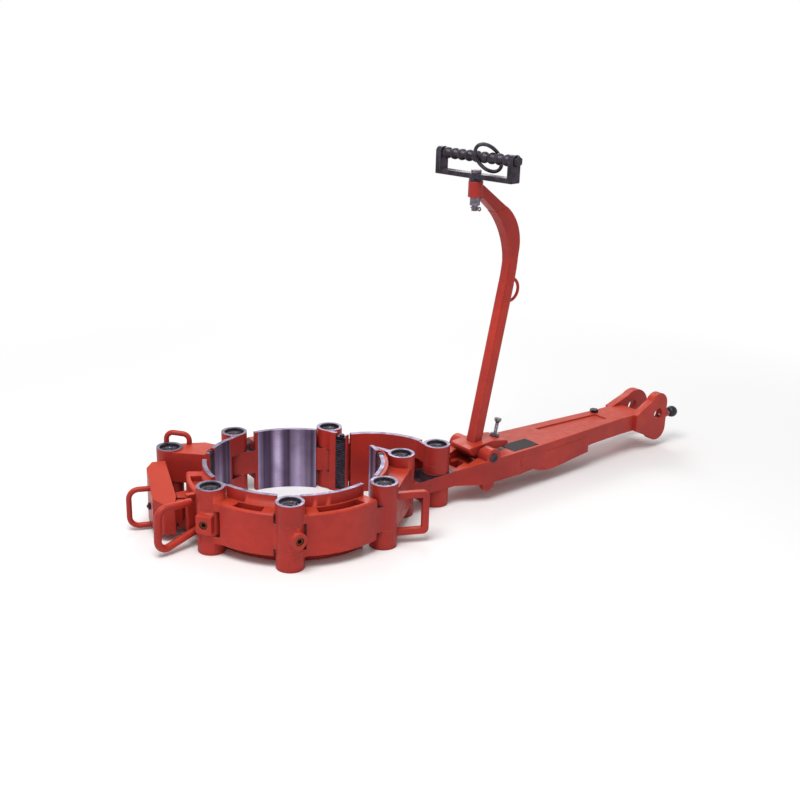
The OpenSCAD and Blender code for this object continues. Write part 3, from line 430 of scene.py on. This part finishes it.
def bright_steel(name, light, dull, rust_share):
    """Mottled steel with rust in stains and corners."""
    material, tree, shader = start(name, Metallic=0.9)
    mottle = between(tree, grain(tree, 170, 4), 0.35, 0.7)
    colour = mixed(tree, mottle, light, dull)
    stain = between(tree, grain(tree, 60, 3), 0.5, 0.7, 0, rust_share)
    corner = reckon(tree, "MULTIPLY", hollows(tree, 6 * MM), rust_share)
    rust = reckon(tree, "MAXIMUM", stain, corner)
    colour = mixed(tree, rust, colour, RUST)
    wear(tree, shader, Base_Color=colour,
         Roughness=between(tree, mottle, 0, 1, 0.22, 0.4),
         Normal=roughened(tree, mottle, 0.12, 0.4 * MM, 0.6 * MM))
    return material


bright = bright_steel("bright_zinc", paint(205, 207, 212),
                      paint(140, 142, 150), 0.25)
screw_steel = bright_steel("screw_steel", paint(150, 150, 156),
                           paint(84, 82, 90), 0.15)
pin_steel = bright_steel("pin_steel", paint(136, 128, 142),
                         paint(82, 74, 88), 0.4)
plug_steel = bright_steel("plug_steel", paint(92, 44, 30), RUST, 0.9)
print("made", bright.name, screw_steel.name, pin_steel.name, plug_steel.name)

# %% [markdown]
# The nameplate is a dark enamelled sheet with nothing on it. Enamel is glass
# on metal, but years outdoors have dulled it, so it mirrors little and only
# its edges show bare steel.

# %% Dark enamel
ENAMEL = paint(26, 20, 22)
ENAMEL_WORN = paint(50, 42, 44)


def dark_enamel():
    """Dull dark enamel, chipped to steel along its edges."""
    material, tree, shader = start("dark_enamel", Specular_IOR_Level=0.08)
    cloud = between(tree, grain(tree, 60, 4), 0.4, 0.7)
    colour = mixed(tree, cloud, ENAMEL, ENAMEL_WORN)
    colour = mixed(tree, edges(tree, 1 * MM), colour, FACED)
    wear(tree, shader, Base_Color=colour,
         Roughness=between(tree, cloud, 0, 1, 0.35, 0.5),
         Normal=roughened(tree, cloud, 0.1, 0.4 * MM, 0.5 * MM))
    return material


enamel = dark_enamel()
print("made", enamel.name, "with", len(enamel.node_tree.nodes), "nodes")

# %% [markdown]
# A casting carries several finishes at once: paint outside, bare steel in the
# bore and on the faced tops, and black painted shade in the pin bores. The
# frame's mesh isn't touched. A copy of it is welded, and its flat triangles are
# joined back into whole faces, since a finish goes on a face and a bevel needs
# true edges.

# %% Copy a node as a clean mesh
WELD = 0.02 * MM
FLAT = math.radians(0.4)


def welded(node):
    """A copy of the node's surface with its doubled corners merged."""
    shape = bmesh.new()
    shape.from_mesh(nodes[node].data)
    bmesh.ops.remove_doubles(shape, verts=shape.verts, dist=WELD)
    return shape


def join_flats(shape):
    """Joins the triangles of each flat into one face."""
    bmesh.ops.dissolve_limit(shape, angle_limit=FLAT, verts=shape.verts,
                             edges=shape.edges)


def whole_faced(node):
    """A welded copy with whole faces in place of triangles."""
    shape = welded(node)
    join_flats(shape)
    return shape


trial = whole_faced("lever")
print("the lever's", len(nodes["lever"].data.polygons), "triangles make",
      len(trial.faces), "faces")
trial.free()

# %% [markdown]
# A finished shape becomes a piece whose object stays at the origin, because
# its place is in its mesh. The piece rides on a body and stands for its node,
# so nothing shows twice. Light should flow over a casting and still break at
# its edges, so faces are smooth and edges past the crease are marked sharp.
# Weighted normals keep a large face flat beside its narrow bevels.

# %% Settle a piece on its body
CREASE = math.radians(32)
SLIVER = 0.002 * MM


def settle(shape, name, finishes, body, node):
    """Writes a bmesh as a piece that rides on a body and replaces a node."""
    bmesh.ops.dissolve_degenerate(shape, edges=shape.edges, dist=SLIVER)
    for face in shape.faces:
        face.smooth = True
    mesh = bpy.data.meshes.new(name)
    shape.to_mesh(mesh)
    shape.free()
    mesh.set_sharp_from_angle(angle=CREASE)
    for finish in finishes:
        mesh.materials.append(finish)
    piece = bpy.data.objects.new(name, mesh)
    bpy.context.scene.collection.objects.link(piece)
    even = piece.modifiers.new("even_normals", "WEIGHTED_NORMAL")
    even.keep_sharp = True
    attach(piece, body)
    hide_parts(node)
    print(name, "rides on", body, "with", len(mesh.polygons), "faces")


print("edges past", round(math.degrees(CREASE)), "degrees stay sharp")

# %% [markdown]
# The jaws turn on upright pins, and each pin's bore is painted black inside as
# shade. To know which faces lie in a bore, the script has to know where the pins
# stand. The numbers could be typed in, but the loose pins are in the frame: each
# is an island of corners, and the middle of an island is its axis.

# %% Where the hinge pins stand
PIN_SETS = ("long_jaw_pins", "carrier_jaw_pins", "short_jaw_pins",
            "front_inner_pin", "front_outer_pin")


def islands(shape):
    """The corners of each loose shell, one list to a shell."""
    left = set(shape.verts)
    while left:
        reach = [left.pop()]
        island = []
        while reach:
            vert = reach.pop()
            island.append(vert.co.copy())
            for edge in vert.link_edges:
                other = edge.other_vert(vert)
                if other in left:
                    left.remove(other)
                    reach.append(other)
        yield island


def middle_of(values):
    """Halfway from the least to the greatest."""
    return (min(values) + max(values)) / 2


PINS = []
for name in PIN_SETS:
    shape = welded(name)
    for island in islands(shape):
        PINS.append(Vector((middle_of([co.x for co in island]),
                            middle_of([co.y for co in island]))))
    shape.free()
print("hinge pins at", [[round(v / MM) for v in axis] for axis in PINS])

# %% [markdown]
# The bore isn't bare all round. Beside four of the hinges the wall is relieved
# so that the next jaw can swing, the lathe's tool never touched it, and the
# paint stayed. Those places are given as a way round the axis, taken from the
# frame's joints, and how many degrees the paint reaches to each side.

# %% Where the bore is still painted
RELIEVED = {"carrier_jaw_hinge": 12, "lug_jaw_hinge": 12,
            "front_outer_jaw_hinge": 10, "front_inner_jaw_hinge": 10}


def way_round(x, y):
    """The direction of a point from the bore's axis, in degrees."""
    return math.degrees(math.atan2(y, x))


HINGE_WAYS = [(way_round(*joint["pos_m"][:2]), RELIEVED[joint["name"]])
              for joint in frame["joints"] if joint["name"] in RELIEVED]


def relieved(place):
    """True where the bore's wall is relieved beside a hinge."""
    turn = way_round(place.x, place.y)
    return any(abs((turn - way + 180) % 360 - 180) < reach
               for way, reach in HINGE_WAYS)


print("the bore is painted near", [(round(w), r) for w, r in HINGE_WAYS])

# %% [markdown]
# Seven jaws close the ring. One rule gives each of their faces its finish:
# what looks up at the top of the wall is faced off, what lies inside a pin's
# bore or lies level near a pin is painted black as shade, what faces the axis
# at the bore's radius is turned, and the rest keeps its paint.

# %% Finishes of a jaw
# The black finish in and around the pin bores is painted shade, to make dark holes.
PAINTED, TURNED, FACED_TOP, PAINTED_SHADE_BLACK = range(4)
JAW_FINISHES = [red, bore, faced, black]
BORE_R = 216 * MM
BORE_BAND = 4 * MM
WALL_TOP = 165 * MM
FACED_BAND = 1.5 * MM
PIN_REACH = 28 * MM
LEVEL = 0.9
INWARD = 0.8


def jaw_finish(face):
    """The finish that a face takes from its place and the way it looks."""
    middle = face.calc_center_median()
    normal = face.normal
    if normal.z > LEVEL and middle.z > WALL_TOP - FACED_BAND:
        return FACED_TOP
    for axis in PINS:
        out = middle.xy - axis
        inward = out.length > 1e-6 and normal.xy.dot(out) < 0
        if out.length < PIN_REACH and (inward or abs(normal.z) > LEVEL):
            return PAINTED_SHADE_BLACK
    far = middle.xy.length
    inward = normal.xy.dot(middle.xy) < -INWARD * far
    if inward and abs(far - BORE_R) < BORE_BAND and not relieved(middle):
        return TURNED
    return PAINTED


print("finishes of a jaw:", [finish.name for finish in JAW_FINISHES])

# %% [markdown]
# A machinist breaks the mouth of each pin's bore so that the pin slides in.
# The edge between the faced ring and the bore is where those two finishes
# meet, so that is how it is found. A bevel of two segments cuts it, and the
# new faces take the bore's black, painted shade.

# %% Chamfer the mouths of the pin bores


def chamfer_mouths(shape, width):
    """Breaks the inner edge of each faced ring, and paints the chamfer black as shade."""
    mouths = [edge for edge in shape.edges
              if {face.material_index for face in edge.link_faces}
              == {FACED_TOP, PAINTED_SHADE_BLACK}]
    if mouths:
        cut = bmesh.ops.bevel(shape, geom=mouths, offset=width,
                              offset_type="WIDTH", affect="EDGES", segments=2,
                              profile=0.5, material=-1, clamp_overlap=True)
        for face in cut["faces"]:
            face.material_index = PAINTED_SHADE_BLACK
    return len(mouths)


MOUTH = 3.5 * MM
print("mouths of the pin bores are broken by", MOUTH / MM, "mm")

# %% [markdown]
# A sand casting has no sharp outer edges, and neither has a forging. A Bevel
# modifier would round every edge alike, the machined ones too, so the edges
# are picked: painted on both sides, turning outwards by about a right angle,
# and long enough to take the radius. An edge beside a very thin face is left,
# because a bevel there would run past it.

# %% Roll over the outer edges
THIN = 0.8 * MM
LEAST_TURN, MOST_TURN = 40, 130


def outer_edge(edge, width):
    """True for a sharp outer edge that has room for a radius."""
    sides = edge.link_faces
    if len(sides) != 2 or not edge.is_convex:
        return False
    painted = all(face.material_index == PAINTED for face in sides)
    length = edge.calc_length()
    broad = all(face.calc_area() > THIN * length for face in sides)
    turn = math.degrees(edge.calc_face_angle(0))
    return (painted and broad and length > 1.2 * width
            and LEAST_TURN < turn < MOST_TURN)


def round_over(shape, width):
    """Rolls over the sharp outer edges between painted faces."""
    picked = [edge for edge in shape.edges if outer_edge(edge, width)]
    bmesh.ops.bevel(shape, geom=picked, offset=width, offset_type="OFFSET",
                    affect="EDGES", segments=2, profile=0.5, material=-1,
                    clamp_overlap=False)
    return len(picked)


print("outer edges turn by", LEAST_TURN, "to", MOST_TURN, "degrees")

# %% [markdown]
# The latch is a long arm on its own pin, with a hook at its end. On the real
# one the arm's top slopes up towards the pin, to keep its section deep where
# the pull is greatest. The solid's top is level, so its corners are moved: the
# further a corner is from the pin, the less it rises. The two holes that the
# handle enters move with the handle's ends.

# %% Slope the latch's arm
LATCH_PIN = Vector((-212.1, 252.8)) * MM
LATCH_WAY = math.radians(248.8)
ARM_TOP = 104 * MM
ROOT_TOP = 145 * MM
ROOT = 44 * MM
SLOPE = 0.2754
HOLE_ALONG = 126 * MM
HOLE_OUT = -54 * MM
HOLE_REACH = 8 * MM
UPPER_HOLE, LOWER_HOLE = 92 * MM, 14 * MM
HANDLE_UP, HANDLE_DOWN = 16 * MM, 2 * MM


def along_latch(co):
    """A point's place along the latch and out from it, from the pin's axis."""
    out = co.xy - LATCH_PIN
    along = Vector((math.cos(LATCH_WAY), math.sin(LATCH_WAY)))
    return out.dot(along), out.dot(Vector((-along.y, along.x)))


def raise_arm(shape):
    """Slopes the arm's top up to the pin, and moves the handle's two holes."""
    moved = 0
    for vert in shape.verts:
        along, out = along_latch(vert.co)
        at_holes = abs(along - HOLE_ALONG) < HOLE_REACH and out < HOLE_OUT
        if abs(vert.co.z - ARM_TOP) < 0.1 * MM:
            vert.co.z = ROOT_TOP - SLOPE * (along - ROOT)
            moved += 1
        elif at_holes and abs(vert.co.z - UPPER_HOLE) < HOLE_REACH:
            vert.co.z += HANDLE_UP
        elif at_holes and abs(vert.co.z - LOWER_HOLE) < HOLE_REACH:
            vert.co.z -= HANDLE_DOWN
    return moved


print("the arm rises from", round(ARM_TOP / MM), "to", round(ROOT_TOP / MM),
      "mm at its root")

# %% [markdown]
# The hook's underside stands clear of the floor, and its toe, the end that
# grips the lug jaw's lug, is cut up too. Both are flat in the solid, so their
# corners are found by height and lifted together.

# %% Lift the latch's hook
HOOK_UNDER, HOOK_LIFT = 12 * MM, 34 * MM
TOE_LENGTH, TOE_LIFT = 45 * MM, 16 * MM


def lift_hook(shape):
    """Raises the underside of the hook and of its toe."""
    under = [vert for vert in shape.verts
             if abs(vert.co.z - HOOK_UNDER) < 0.1 * MM]
    bmesh.ops.translate(shape, verts=under, vec=(0, 0, HOOK_LIFT))
    nearest = min(vert.co.y for vert in shape.verts)
    toe = [vert for vert in shape.verts
           if vert.co.z < 4 * MM and vert.co.y < nearest + TOE_LENGTH]
    bmesh.ops.translate(shape, verts=toe, vec=(0, 0, TOE_LIFT))
    return len(under) + len(toe)


print("the hook's underside rises by", round(HOOK_LIFT / MM), "mm")

# %% [markdown]
# Now each casting is copied, finished face by face and settled in its node's
# place. The long jaw, the lever and the latch have no turned wall: what the
# rule takes for one is painted. The lever and the latch aren't faced on top
# either. Each casting rides on the body of its own name.

# %% Dress the castings
CASTINGS = ("back_jaw", "carrier_jaw", "front_inner_jaw", "front_outer_jaw",
            "lug_jaw", "short_jaw", "long_jaw", "latch", "lever")
NEVER_ON = {TURNED: ("long_jaw", "lever", "latch"),
            FACED_TOP: ("lever", "latch")}
CAST_EDGE = 1.5 * MM

for node in CASTINGS:
    shape = whole_faced(node)
    if node == "latch":
        lifted = lift_hook(shape)
        raised = raise_arm(shape)
        print("moved", lifted, "corners of the hook and", raised, "of the arm")
    for face in shape.faces:
        finish = jaw_finish(face)
        if node in NEVER_ON.get(finish, ()):
            finish = PAINTED
        face.material_index = finish
    broken = chamfer_mouths(shape, MOUTH)
    rolled = round_over(shape, CAST_EDGE)
    print("broke", broken, "edges of pin mouths, rolled over", rolled)
    settle(shape, "cast_" + node, JAW_FINISHES, node, node)

# %% [markdown]
# The side handle is bent from flat bar. A bend is a far larger radius than an
# edge has, so its two outer corners get their own bevel, of six segments,
# before the small one. They are the short edges that lie level, far out from
# the bore's axis, and turn by about a right angle.

# %% Bend the side handle's corners
BAR_WIDTH = 20 * MM
FAR_OUT = 285 * MM
BEND_R = 14 * MM


def bend_corners(shape, radius):
    """Rounds the two outer corners of the handle across its thickness."""
    across = []
    for edge in shape.edges:
        if not edge.is_convex or len(edge.link_faces) != 2:
            continue
        run = edge.verts[1].co - edge.verts[0].co
        level = abs(run.z) < 0.1 * run.length and run.length < BAR_WIDTH
        outer = edge.verts[0].co.xy.length > FAR_OUT
        if level and outer and math.degrees(edge.calc_face_angle(0)) > 60:
            across.append(edge)
    bmesh.ops.bevel(shape, geom=across, offset=radius, offset_type="OFFSET",
                    affect="EDGES", segments=6, profile=0.5, material=-1,
                    clamp_overlap=False)
    return len(across)


print("the handle's bends have a radius of", round(BEND_R / MM), "mm")

# %% [markdown]
# The hanger's stem is one forging, but the solid is put together from lengths
# that differ by up to a millimetre in width. Rolled over, those steps would
# show as seams. So the narrower corners are drawn out to the full width, all
# but the eye of the foot, and the flats are joined again.

# %% Draw the stem's sides flush
STEM_HALF = 15.5 * MM
STEP = 1.2 * MM
EYE_X = 457 * MM
EYE_R = 19 * MM


def flush_sides(shape, half):
    """Draws the stem's lengths out to one width, so no step shows."""
    low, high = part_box("hanger")
    middle = (low[1] + high[1]) / 2
    eye = Vector((EYE_X, middle))
    moved = 0
    for vert in shape.verts:
        off = vert.co.y - middle
        short = half - STEP < abs(off) < half - 0.05 * MM
        if short and (vert.co.xy - eye).length > EYE_R:
            vert.co.y = middle + math.copysign(half, off)
            moved += 1
    bmesh.ops.remove_doubles(shape, verts=shape.verts, dist=0.05 * MM)
    bmesh.ops.dissolve_degenerate(shape, edges=shape.edges, dist=0.05 * MM)
    join_flats(shape)
    return moved


print("the stem is", round(2 * STEM_HALF / MM), "mm wide")

# %% [markdown]
# The hanger, the bail and the side handle have one finish each, but their
# edges are forged or ground round, and a little rounder than a casting's.

# %% Dress the hanger, the bail and the side handle
FORGED = {"hanger": ("hanger", red, 2.5 * MM),
          "bail": ("bail", black, 2 * MM),
          "side_handle": ("short_jaw", red, 2.5 * MM)}

for node, (body, finish, width) in FORGED.items():
    shape = whole_faced(node)
    if node == "side_handle":
        bent = bend_corners(shape, BEND_R)
        print("bent", bent, "corners of the handle")
    elif node == "hanger":
        drawn = flush_sides(shape, STEM_HALF)
        print("drew out", drawn, "corners of the stem")
    rolled = round_over(shape, width)
    print("rolled over", rolled, "edges")
    settle(shape, "forged_" + node, [finish], body, node)

# %% [markdown]
# The latch's handle is a round bar bent to a U, with its two ends in the
# holes of the arm. It is as tall as the holes are apart. A new bar could be
# swept, but the solid's bends are right as they are, so its two halves are
# only moved apart, and the straight length between them grows.

# %% Draw out the latch's handle
HANDLE_MIDDLE = 53 * MM

shape = whole_faced("latch_handle")
for vert in shape.verts:
    if vert.co.z > HANDLE_MIDDLE:
        vert.co.z += HANDLE_UP
    else:
        vert.co.z -= HANDLE_DOWN
settle(shape, "bent_latch_handle", [red], "latch", "latch_handle")
print("it is", round((HANDLE_UP + HANDLE_DOWN) / MM), "mm taller")

# %% [markdown]
# The levelling screw leans with the hanger's foot. A screw is far easier to
# make upright, so the solid's corners are turned upright first and measured,
# and the finished screw is leaned over at the end.

# %% Measure the levelling screw
LEAN = math.radians(11.5)
TIP_BALL = 4 * MM
HEAD_LENGTH = 10 * MM

upright = Matrix.Rotation(-LEAN, 4, "Y")
points = [upright @ vert.co
          for vert in nodes["levelling_screw"].data.vertices]
screw_x = middle_of([point.x for point in points])
screw_y = middle_of([point.y for point in points])
screw_low = min(point.z for point in points)
screw_high = max(point.z for point in points)
shank_low = screw_low + TIP_BALL
shank_high = screw_high - HEAD_LENGTH
print("the screw is", round((screw_high - screw_low) / MM, 1), "mm long, its",
      "shank", round((shank_high - shank_low) / MM, 1), "mm")

# %% [markdown]
# It is the one thread in plain view. A bump would look flat against the light,
# so the thread is real: a zigzag edge is spun round the axis and climbs one
# pitch in a full turn. Each tooth then ends where the next began. A full spin
# is otherwise closed with use_merge, but that would pull the last turn back
# down onto the first, so the doubles are merged by place instead.

# %% Cut the thread
THREAD_R = 5 * MM
ROOT_R = 4.3 * MM
PITCH = 1.75 * MM
TURN_STEPS = 24

threads = int((shank_high - shank_low) / PITCH) - 1
screw = bmesh.new()
zigzag = []
for tooth in range(threads):
    crest = shank_low + tooth * PITCH
    zigzag.append(screw.verts.new((THREAD_R, 0, crest)))
    zigzag.append(screw.verts.new((ROOT_R, 0, shank_low
                                   + (tooth + 0.5) * PITCH)))
flanks = [screw.edges.new(pair) for pair in zip(zigzag, zigzag[1:])]
bmesh.ops.spin(screw, geom=zigzag + flanks, cent=(0, 0, 0), axis=(0, 0, 1),
               dvec=(0, 0, PITCH / TURN_STEPS), angle=2 * math.pi,
               steps=TURN_STEPS, use_merge=False)
bmesh.ops.remove_doubles(screw, verts=screw.verts, dist=0.01 * MM)
ends = [edge for edge in screw.edges if edge.is_boundary]
bmesh.ops.holes_fill(screw, edges=ends, sides=0)
bmesh.ops.recalc_face_normals(screw, faces=screw.faces)
print("the screw has", threads, "threads in", len(screw.faces), "faces")

# %% [markdown]
# The head, the neck under it and the tip are turned lengths, each a shell of
# its own that runs into the next, and a ball ends the tip. The screw then goes
# to its place and leans.

# %% Head and tip of the screw
HEAD_R = 9.5 * MM
NECK_LOW_R, NECK_TOP_R = 5.2 * MM, 8.2 * MM
TIP_LOW_R, TIP_TOP_R = 4 * MM, 4.3 * MM


def turned(shape, r_low, r_high, z_low, z_high, edge):
    """A turned length with its two rims broken."""
    middle = Matrix.Translation((0, 0, (z_low + z_high) / 2))
    made = bmesh.ops.create_cone(shape, cap_ends=True, segments=32,
                                 radius1=r_low, radius2=r_high,
                                 depth=z_high - z_low, matrix=middle)
    corners = set(made["verts"])
    rims = [side for side in shape.edges if corners.issuperset(side.verts)
            and abs(side.verts[0].co.z - side.verts[1].co.z) < 0.01 * MM]
    bmesh.ops.bevel(shape, geom=rims, offset=edge, offset_type="OFFSET",
                    affect="EDGES", segments=2, profile=0.5, material=-1,
                    clamp_overlap=True)


turned(screw, HEAD_R, HEAD_R, screw_high - 8 * MM, screw_high, 0.8 * MM)
turned(screw, NECK_LOW_R, NECK_TOP_R, screw_high - 13 * MM,
       screw_high - 7.4 * MM, 0.3 * MM)
turned(screw, TIP_LOW_R, TIP_TOP_R, screw_low + 1 * MM, shank_low + 2 * MM,
       0.3 * MM)
bmesh.ops.create_uvsphere(screw, u_segments=24, v_segments=12,
                          radius=TIP_BALL,
                          matrix=Matrix.Translation((0, 0, shank_low)))
bmesh.ops.translate(screw, verts=screw.verts, vec=(screw_x, screw_y, 0))
bmesh.ops.transform(screw, matrix=upright.inverted(), verts=screw.verts)
settle(screw, "threaded_screw", [screw_steel], "levelling_screw",
       "levelling_screw")

# %% [markdown]
# The rest of the frame is right as it stands: pins, rings, dies, bolts, plugs
# and the bail's bar. Their meshes stay as they are, and a finish goes in each
# node's own slot.

# %% Finishes of the plain nodes
PLAIN = {
    red: ("hanger_ring", "lug_handle", "lifting_loop"),
    black: ("bail_bar", "bail_bar_nut", "sling_link", "lever_bolt",
            "pin_lock_knob", "latch_bolt", "hanger_pin", "latch_spring",
            "long_jaw_die_bolts", "carrier_jaw_die_bolts",
            "short_jaw_die_bolts", "nameplate_rivets"),
    die_steel: ("long_jaw_die", "carrier_jaw_die", "short_jaw_die"),
    bright: ("long_jaw_clips", "carrier_jaw_clips", "short_jaw_clips",
             "front_inner_clip", "front_outer_clip", "pin_lock"),
    pin_steel: PIN_SETS + ("lock_nut", "swivel_bolt", "swivel_nut",
                           "swivel_cotter", "pin_lock_gland"),
    plug_steel: ("front_pin_plug", "lug_pin_plug"),
    enamel: ("nameplate",),
}
for finish, names in PLAIN.items():
    for name in names:
        mesh = nodes[name].data
        mesh.materials.clear()
        mesh.materials.append(finish)
    print(finish.name, "on", len(names), "nodes")

# %% [markdown]
# The tongs lie on a plain pale floor, as in a studio. A floor has a far edge,
# and a real studio hides it with a curved sweep. Here the floor fades to plain
# white far away, the same white as the background, so no line shows. Mirrors
# see that white too, but it adds no light to the object.

# %% Floor
FADE_MIDDLE = (0.4, 0, 0)
FADE_FROM, FADE_TO = 0.9, 2.0
FLOOR_R = 60


def seen_rays(tree):
    """1 for rays that come from the camera, a mirror or a glass."""
    ray = add(tree, "ShaderNodeLightPath")
    seen = reckon(tree, "MAXIMUM", ray.outputs["Is Camera Ray"],
                  ray.outputs["Is Glossy Ray"])
    return reckon(tree, "MAXIMUM", seen, ray.outputs["Is Transmission Ray"])


def floor_paint():
    """Pale grey near the object, plain white far from it."""
    material, tree, shader = start("pale_floor", Roughness=0.9)
    shader.inputs["Base Color"].default_value = (0.9, 0.9, 0.9, 1)
    place = add(tree, "ShaderNodeTexCoord").outputs["Object"]
    away = add(tree, "ShaderNodeVectorMath", {0: place, 1: FADE_MIDDLE},
               operation="SUBTRACT").outputs[0]
    far = add(tree, "ShaderNodeVectorMath", {0: away},
              operation="LENGTH").outputs["Value"]
    share = reckon(tree, "MULTIPLY", between(tree, far, FADE_FROM, FADE_TO),
                   seen_rays(tree))
    white = add(tree, "ShaderNodeEmission", {"Color": (1, 1, 1, 1)})
    mix = add(tree, "ShaderNodeMixShader",
              {0: share, 1: shader.outputs[0], 2: white.outputs[0]})
    tree.links.new(mix.outputs[0], tree.nodes["Material Output"].inputs[0])
    return material


ground = bmesh.new()
bmesh.ops.create_circle(ground, cap_ends=True, segments=96, radius=FLOOR_R)
bmesh.ops.translate(ground, verts=ground.verts,
                    vec=(0, 0, cad_low[2] - 0.5 * MM))
mesh = bpy.data.meshes.new("floor")
ground.to_mesh(mesh)
ground.free()
mesh.materials.append(floor_paint())
floor = bpy.data.objects.new("floor", mesh)
bpy.context.scene.collection.objects.link(floor)
print("floor", 2 * FLOOR_R, "m across, at", round(cad_low[2], 4), "m")

# %% [markdown]
# One big soft lamp above and to the left gives the tops their light and the
# near sides their slow fall-off. A weaker one behind draws a rim on the far
# jaws and the stem. Disk lamps of a metre or two cast the soft shadow of a
# studio. A small lamp would cast a hard one.

# %% Lamps


def soft_lamp(name, place, target, size, power):
    """A round lamp that looks at a point."""
    lamp = bpy.data.lights.new(name, "AREA")
    lamp.shape = "DISK"
    lamp.size = size
    lamp.energy = power
    made = bpy.data.objects.new(name, lamp)
    made.location = place
    look = Vector(target) - Vector(place)
    made.rotation_euler = look.to_track_quat("-Z", "Y").to_euler()
    bpy.context.scene.collection.objects.link(made)
    print(name, "of", power, "W and", size, "m")


soft_lamp("key_lamp", (-1.1, -0.7, 3.4), (0.2, 0, 0.1), size=2.0, power=100)
soft_lamp("rim_lamp", (2.2, 2.4, 2.4), (0.3, 0, 0.3), size=1.6, power=30)

# %% [markdown]
# The world fills the shadows. Its strength of 1 is the plain white that the
# camera and mirrors see. On the object it lights with about half of that, so
# the red isn't washed out.

# %% World
FILL = 0.49

world = bpy.data.worlds.new("studio")
world.use_nodes = True
sky = world.node_tree
sky.nodes.clear()
strength = between(sky, seen_rays(sky), 0, 1, FILL, 1)
shine = add(sky, "ShaderNodeBackground",
            {"Color": (1, 1, 1, 1), "Strength": strength})
add(sky, "ShaderNodeOutputWorld", {"Surface": shine.outputs[0]})
bpy.context.scene.world = world
bpy.context.scene.view_settings.view_transform = "Standard"
print("the world fills the shadows at", FILL)
